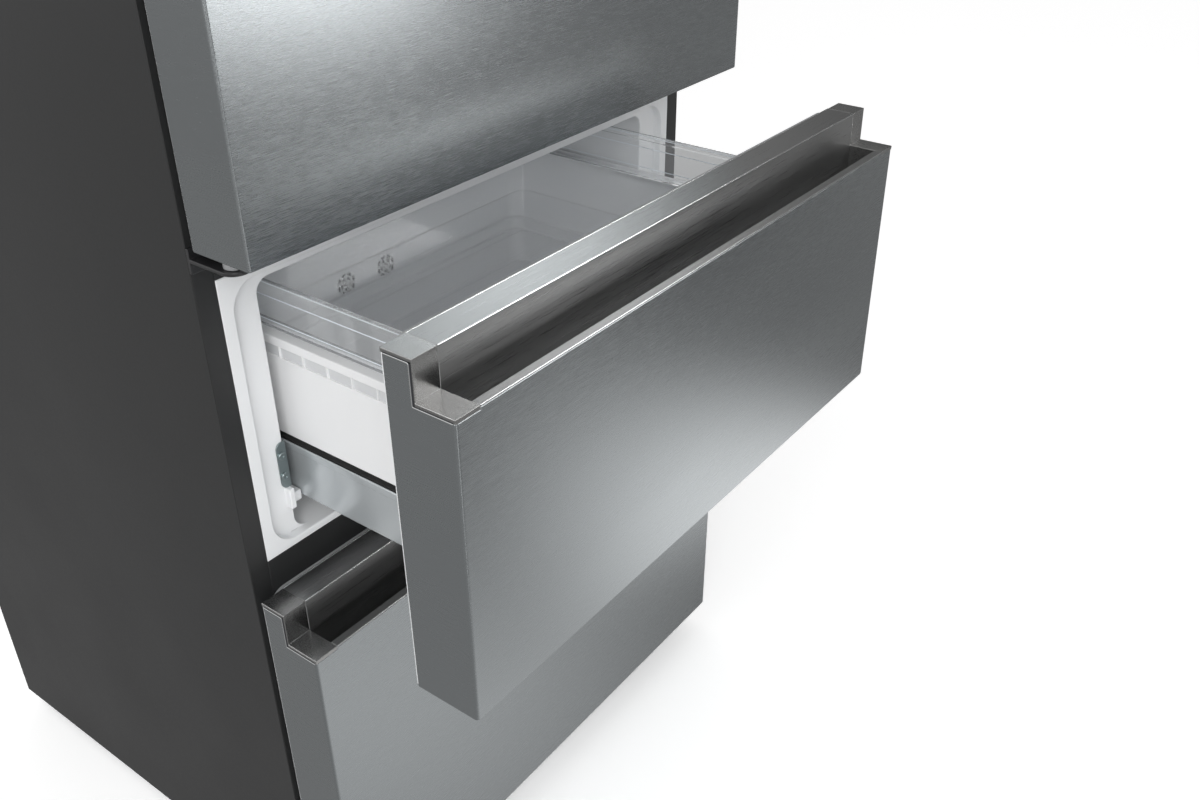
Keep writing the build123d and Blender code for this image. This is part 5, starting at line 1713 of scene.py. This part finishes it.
@dataclass
class Studio:
    """Camera, background, floor and lamps."""

    lens: float = 34.865
    sensor: float = 36.0
    nearest: float = 0.05
    eye: Triple = (-0.8259, -0.9123, 1.2160)
    tilt: float = 58.82
    turn: float = -53.52
    # How bright the world is to diffuse light, and the floor to it, to the camera and in metal.
    level: float = 0.72
    floor_half: float = 14.0
    floor_colour: float = 0.8
    seen_colour: float = 1.15
    floor_lift: float = 0.14
    mirrored_colour: float = 0.1
    mirrored_sides: Pair = (0.3, 0.22)
    mirrored_range: Pair = (-0.6, 0.2)
    # Each pool that only metal shows on the floor, painted light where its level is above nought and
    # painted shade where it is below: its centre, its reach and its level.
    pools: tuple[tuple[Triple, float, float], ...] = (
        ((0.68, -0.74, 0.0), 0.62, 1.5),
        ((-0.05, -0.65, 0.0), 0.8, 0.65),
        ((1.7, -2.1, 0.0), 1.2, -0.22),
    )
    # In metal, the world dims from the first level to the second over this range of directions.
    dusk: Pair = (1.0, 0.1)
    dusk_range: Pair = (0.6, 0.88)
    lamps: tuple[Lamp, ...] = (
        Lamp("key_left", (-2.0, -1.9, 1.9), (0.0, 0.0, 0.9), 1.8, 1.8, 46.0),
        Lamp("edge_front", (2.05, -2.1, 2.3), (0.0, -0.3, 0.9), 1.0, 1.0, 30.0, True),
        Lamp("edge_rear", (-1.7, 1.6, 3.0), (-0.2, -0.2, 0.8), 0.8, 0.8, 10.0),
        Lamp("door_glow", (1.55, -2.6, 0.6), (-0.25, -0.24, 1.06), 0.9, 0.3, 7.0, True),
        Lamp("upright_strip", (-0.5, -1.32, 0.9), (-0.35, -0.3, 0.9), 0.16, 1.9, 1.3, True),
    )

    def camera(self) -> None:
        """Stand the camera where the photograph was taken."""
        data = bpy.data.cameras.new("photo_camera")
        data.lens = self.lens
        data.sensor_fit = "HORIZONTAL"
        data.sensor_width = self.sensor
        data.clip_start = self.nearest
        camera = bpy.data.objects.new("photo_camera", data)
        camera.location = self.eye
        camera.rotation_euler = (math.radians(self.tilt), 0.0, math.radians(self.turn))
        bpy.context.scene.collection.objects.link(camera)
        bpy.context.scene.camera = camera

    def rays(self, sheet: ShaderSheet) -> tuple[Socket, Socket]:
        """Which rays see a surface straight or through something clear, and which see it in metal.

        Args:
            sheet: The sheet of the world or the floor.

        Returns:
            Both sockets.
        """
        path = sheet.add("ShaderNodeLightPath").outputs
        seen = sheet.math("MAXIMUM", path["Is Camera Ray"], path["Is Transmission Ray"])
        return seen, path["Is Glossy Ray"]

    def world(self) -> None:
        """A plain world that looks white, dims in metal to the right, and lights at one level."""
        world = bpy.data.worlds.new("plain_studio")
        bpy.context.scene.world = world
        world.use_nodes = True
        sheet = ShaderSheet(world.node_tree)
        seen, glossy = self.rays(sheet)
        towards = sheet.part(sheet.coordinates("Generated"), 0)
        mirrored = sheet.span(towards, *self.dusk, *self.dusk_range)
        lit = sheet.math("SUBTRACT", 1.0, sheet.math("MAXIMUM", seen, glossy))
        level = sheet.math("ADD", sheet.math("MULTIPLY", glossy, mirrored),
                           sheet.math("MULTIPLY", lit, self.level))
        background = sheet.add("ShaderNodeBackground", None, {
            "Color": PURE_WHITE, "Strength": sheet.math("MAXIMUM", level, seen)})
        sheet.add("ShaderNodeOutputWorld", None, {"Surface": background.outputs[0]})

    def mirrored_level(self, sheet: ShaderSheet) -> Socket:
        """How bright the floor looks in metal: painted pools of light in front of the object, painted
        shade where a pool's level is below nought, and a painted fall from side to side.

        Args:
            sheet: The floor's material.

        Returns:
            The level's socket.
        """
        place = sheet.coordinates()
        total = sheet.span(sheet.part(place, 0), *self.mirrored_sides, *self.mirrored_range)
        for centre, reach, level in self.pools:
            distance = sheet.vector("DISTANCE", place, centre).outputs["Value"]
            pool = sheet.span(distance, level, 0.0, 0.0, reach, interpolation_type="SMOOTHERSTEP")
            total = sheet.math("ADD", total, pool)
        return total

    def floor(self) -> None:
        """A white floor that keeps the object's shadow."""
        size = self.floor_half
        points = [(x, y, 0) for x, y in oblong(-size, size, -size, size)]
        piece = from_faces("studio_floor", points, ((0, 1, 2, 3),))
        material, sheet = new_material("studio_floor")
        seen, glossy = self.rays(sheet)
        real = sheet.blend(seen, (self.floor_colour,) * 3, (self.seen_colour,) * 3)
        matte = sheet.add("ShaderNodeBsdfDiffuse", None, {
            "Color": sheet.blend(glossy, real, (self.mirrored_colour,) * 3)})
        lift = sheet.math("ADD", sheet.math("MULTIPLY", seen, self.floor_lift),
                          sheet.math("MULTIPLY", glossy, self.mirrored_level(sheet)))
        glow = sheet.add("ShaderNodeEmission", None, {"Color": PURE_WHITE, "Strength": lift})
        both = sheet.add("ShaderNodeAddShader", None, {0: matte.outputs[0], 1: glow.outputs[0]})
        sheet.add("ShaderNodeOutputMaterial", None, {"Surface": both.outputs[0]})
        piece.data.materials.append(material)
        piece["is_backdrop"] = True

    def build(self) -> None:
        """Set up the whole studio."""
        self.camera()
        self.world()
        self.floor()
        for lamp in self.lamps:
            lamp.hang()
        bpy.context.scene.view_settings.view_transform = "Standard"


def write_sizes(before: Sequence[Vector]) -> None:
    """Gather the CAD box and the dressed model's box; nothing is written.

    Args:
        before: The CAD model's lowest and highest corners.
    """
    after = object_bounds()
    boxes = {"cad": [list(corner) for corner in before], "visual": [list(corner) for corner in after]}


def main() -> None:
    """Build the studio and every sub-assembly in order."""
    logging.basicConfig(level=logging.INFO, format="%(message)s")
    before = [corner.copy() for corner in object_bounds()]
    Studio().build()
    parts: list[Assembly] = [
        Cabinet("cabinet"), FridgeInterior("cabinet"), ColdAirUnit("cabinet"),
        MachineRoom("cabinet"),
        OnePiece("humidity_slider", GREY, "grey_plastic", 0.4),
        OnePiece("fan_blade", GREY, "grey_plastic", 0.2),
        OnePiece("foot_left", BLACK, "black_plastic", 0.5),
        OnePiece("foot_right", BLACK, "black_plastic", 0.5),
        OnePiece("rear_rollers", GREY, "grey_plastic", 0.6),
        Door("door"),
    ]
    for name, store in (("chill", ChillStore), ("freezer", DrawerStore)):
        body = f"{name}_drawer"
        parts += [DrawerFront(body, name=name), store(body, name=name), SideBars(body, name=name),
                  OnePiece(f"{name}_middle_rails", RAIL, "rail_steel", 0.3)]
    for part in parts:
        log.info("building %s on %s", type(part).__name__, part.body)
        part.build()
    write_sizes(before)


if __name__ == "__main__":
    main()
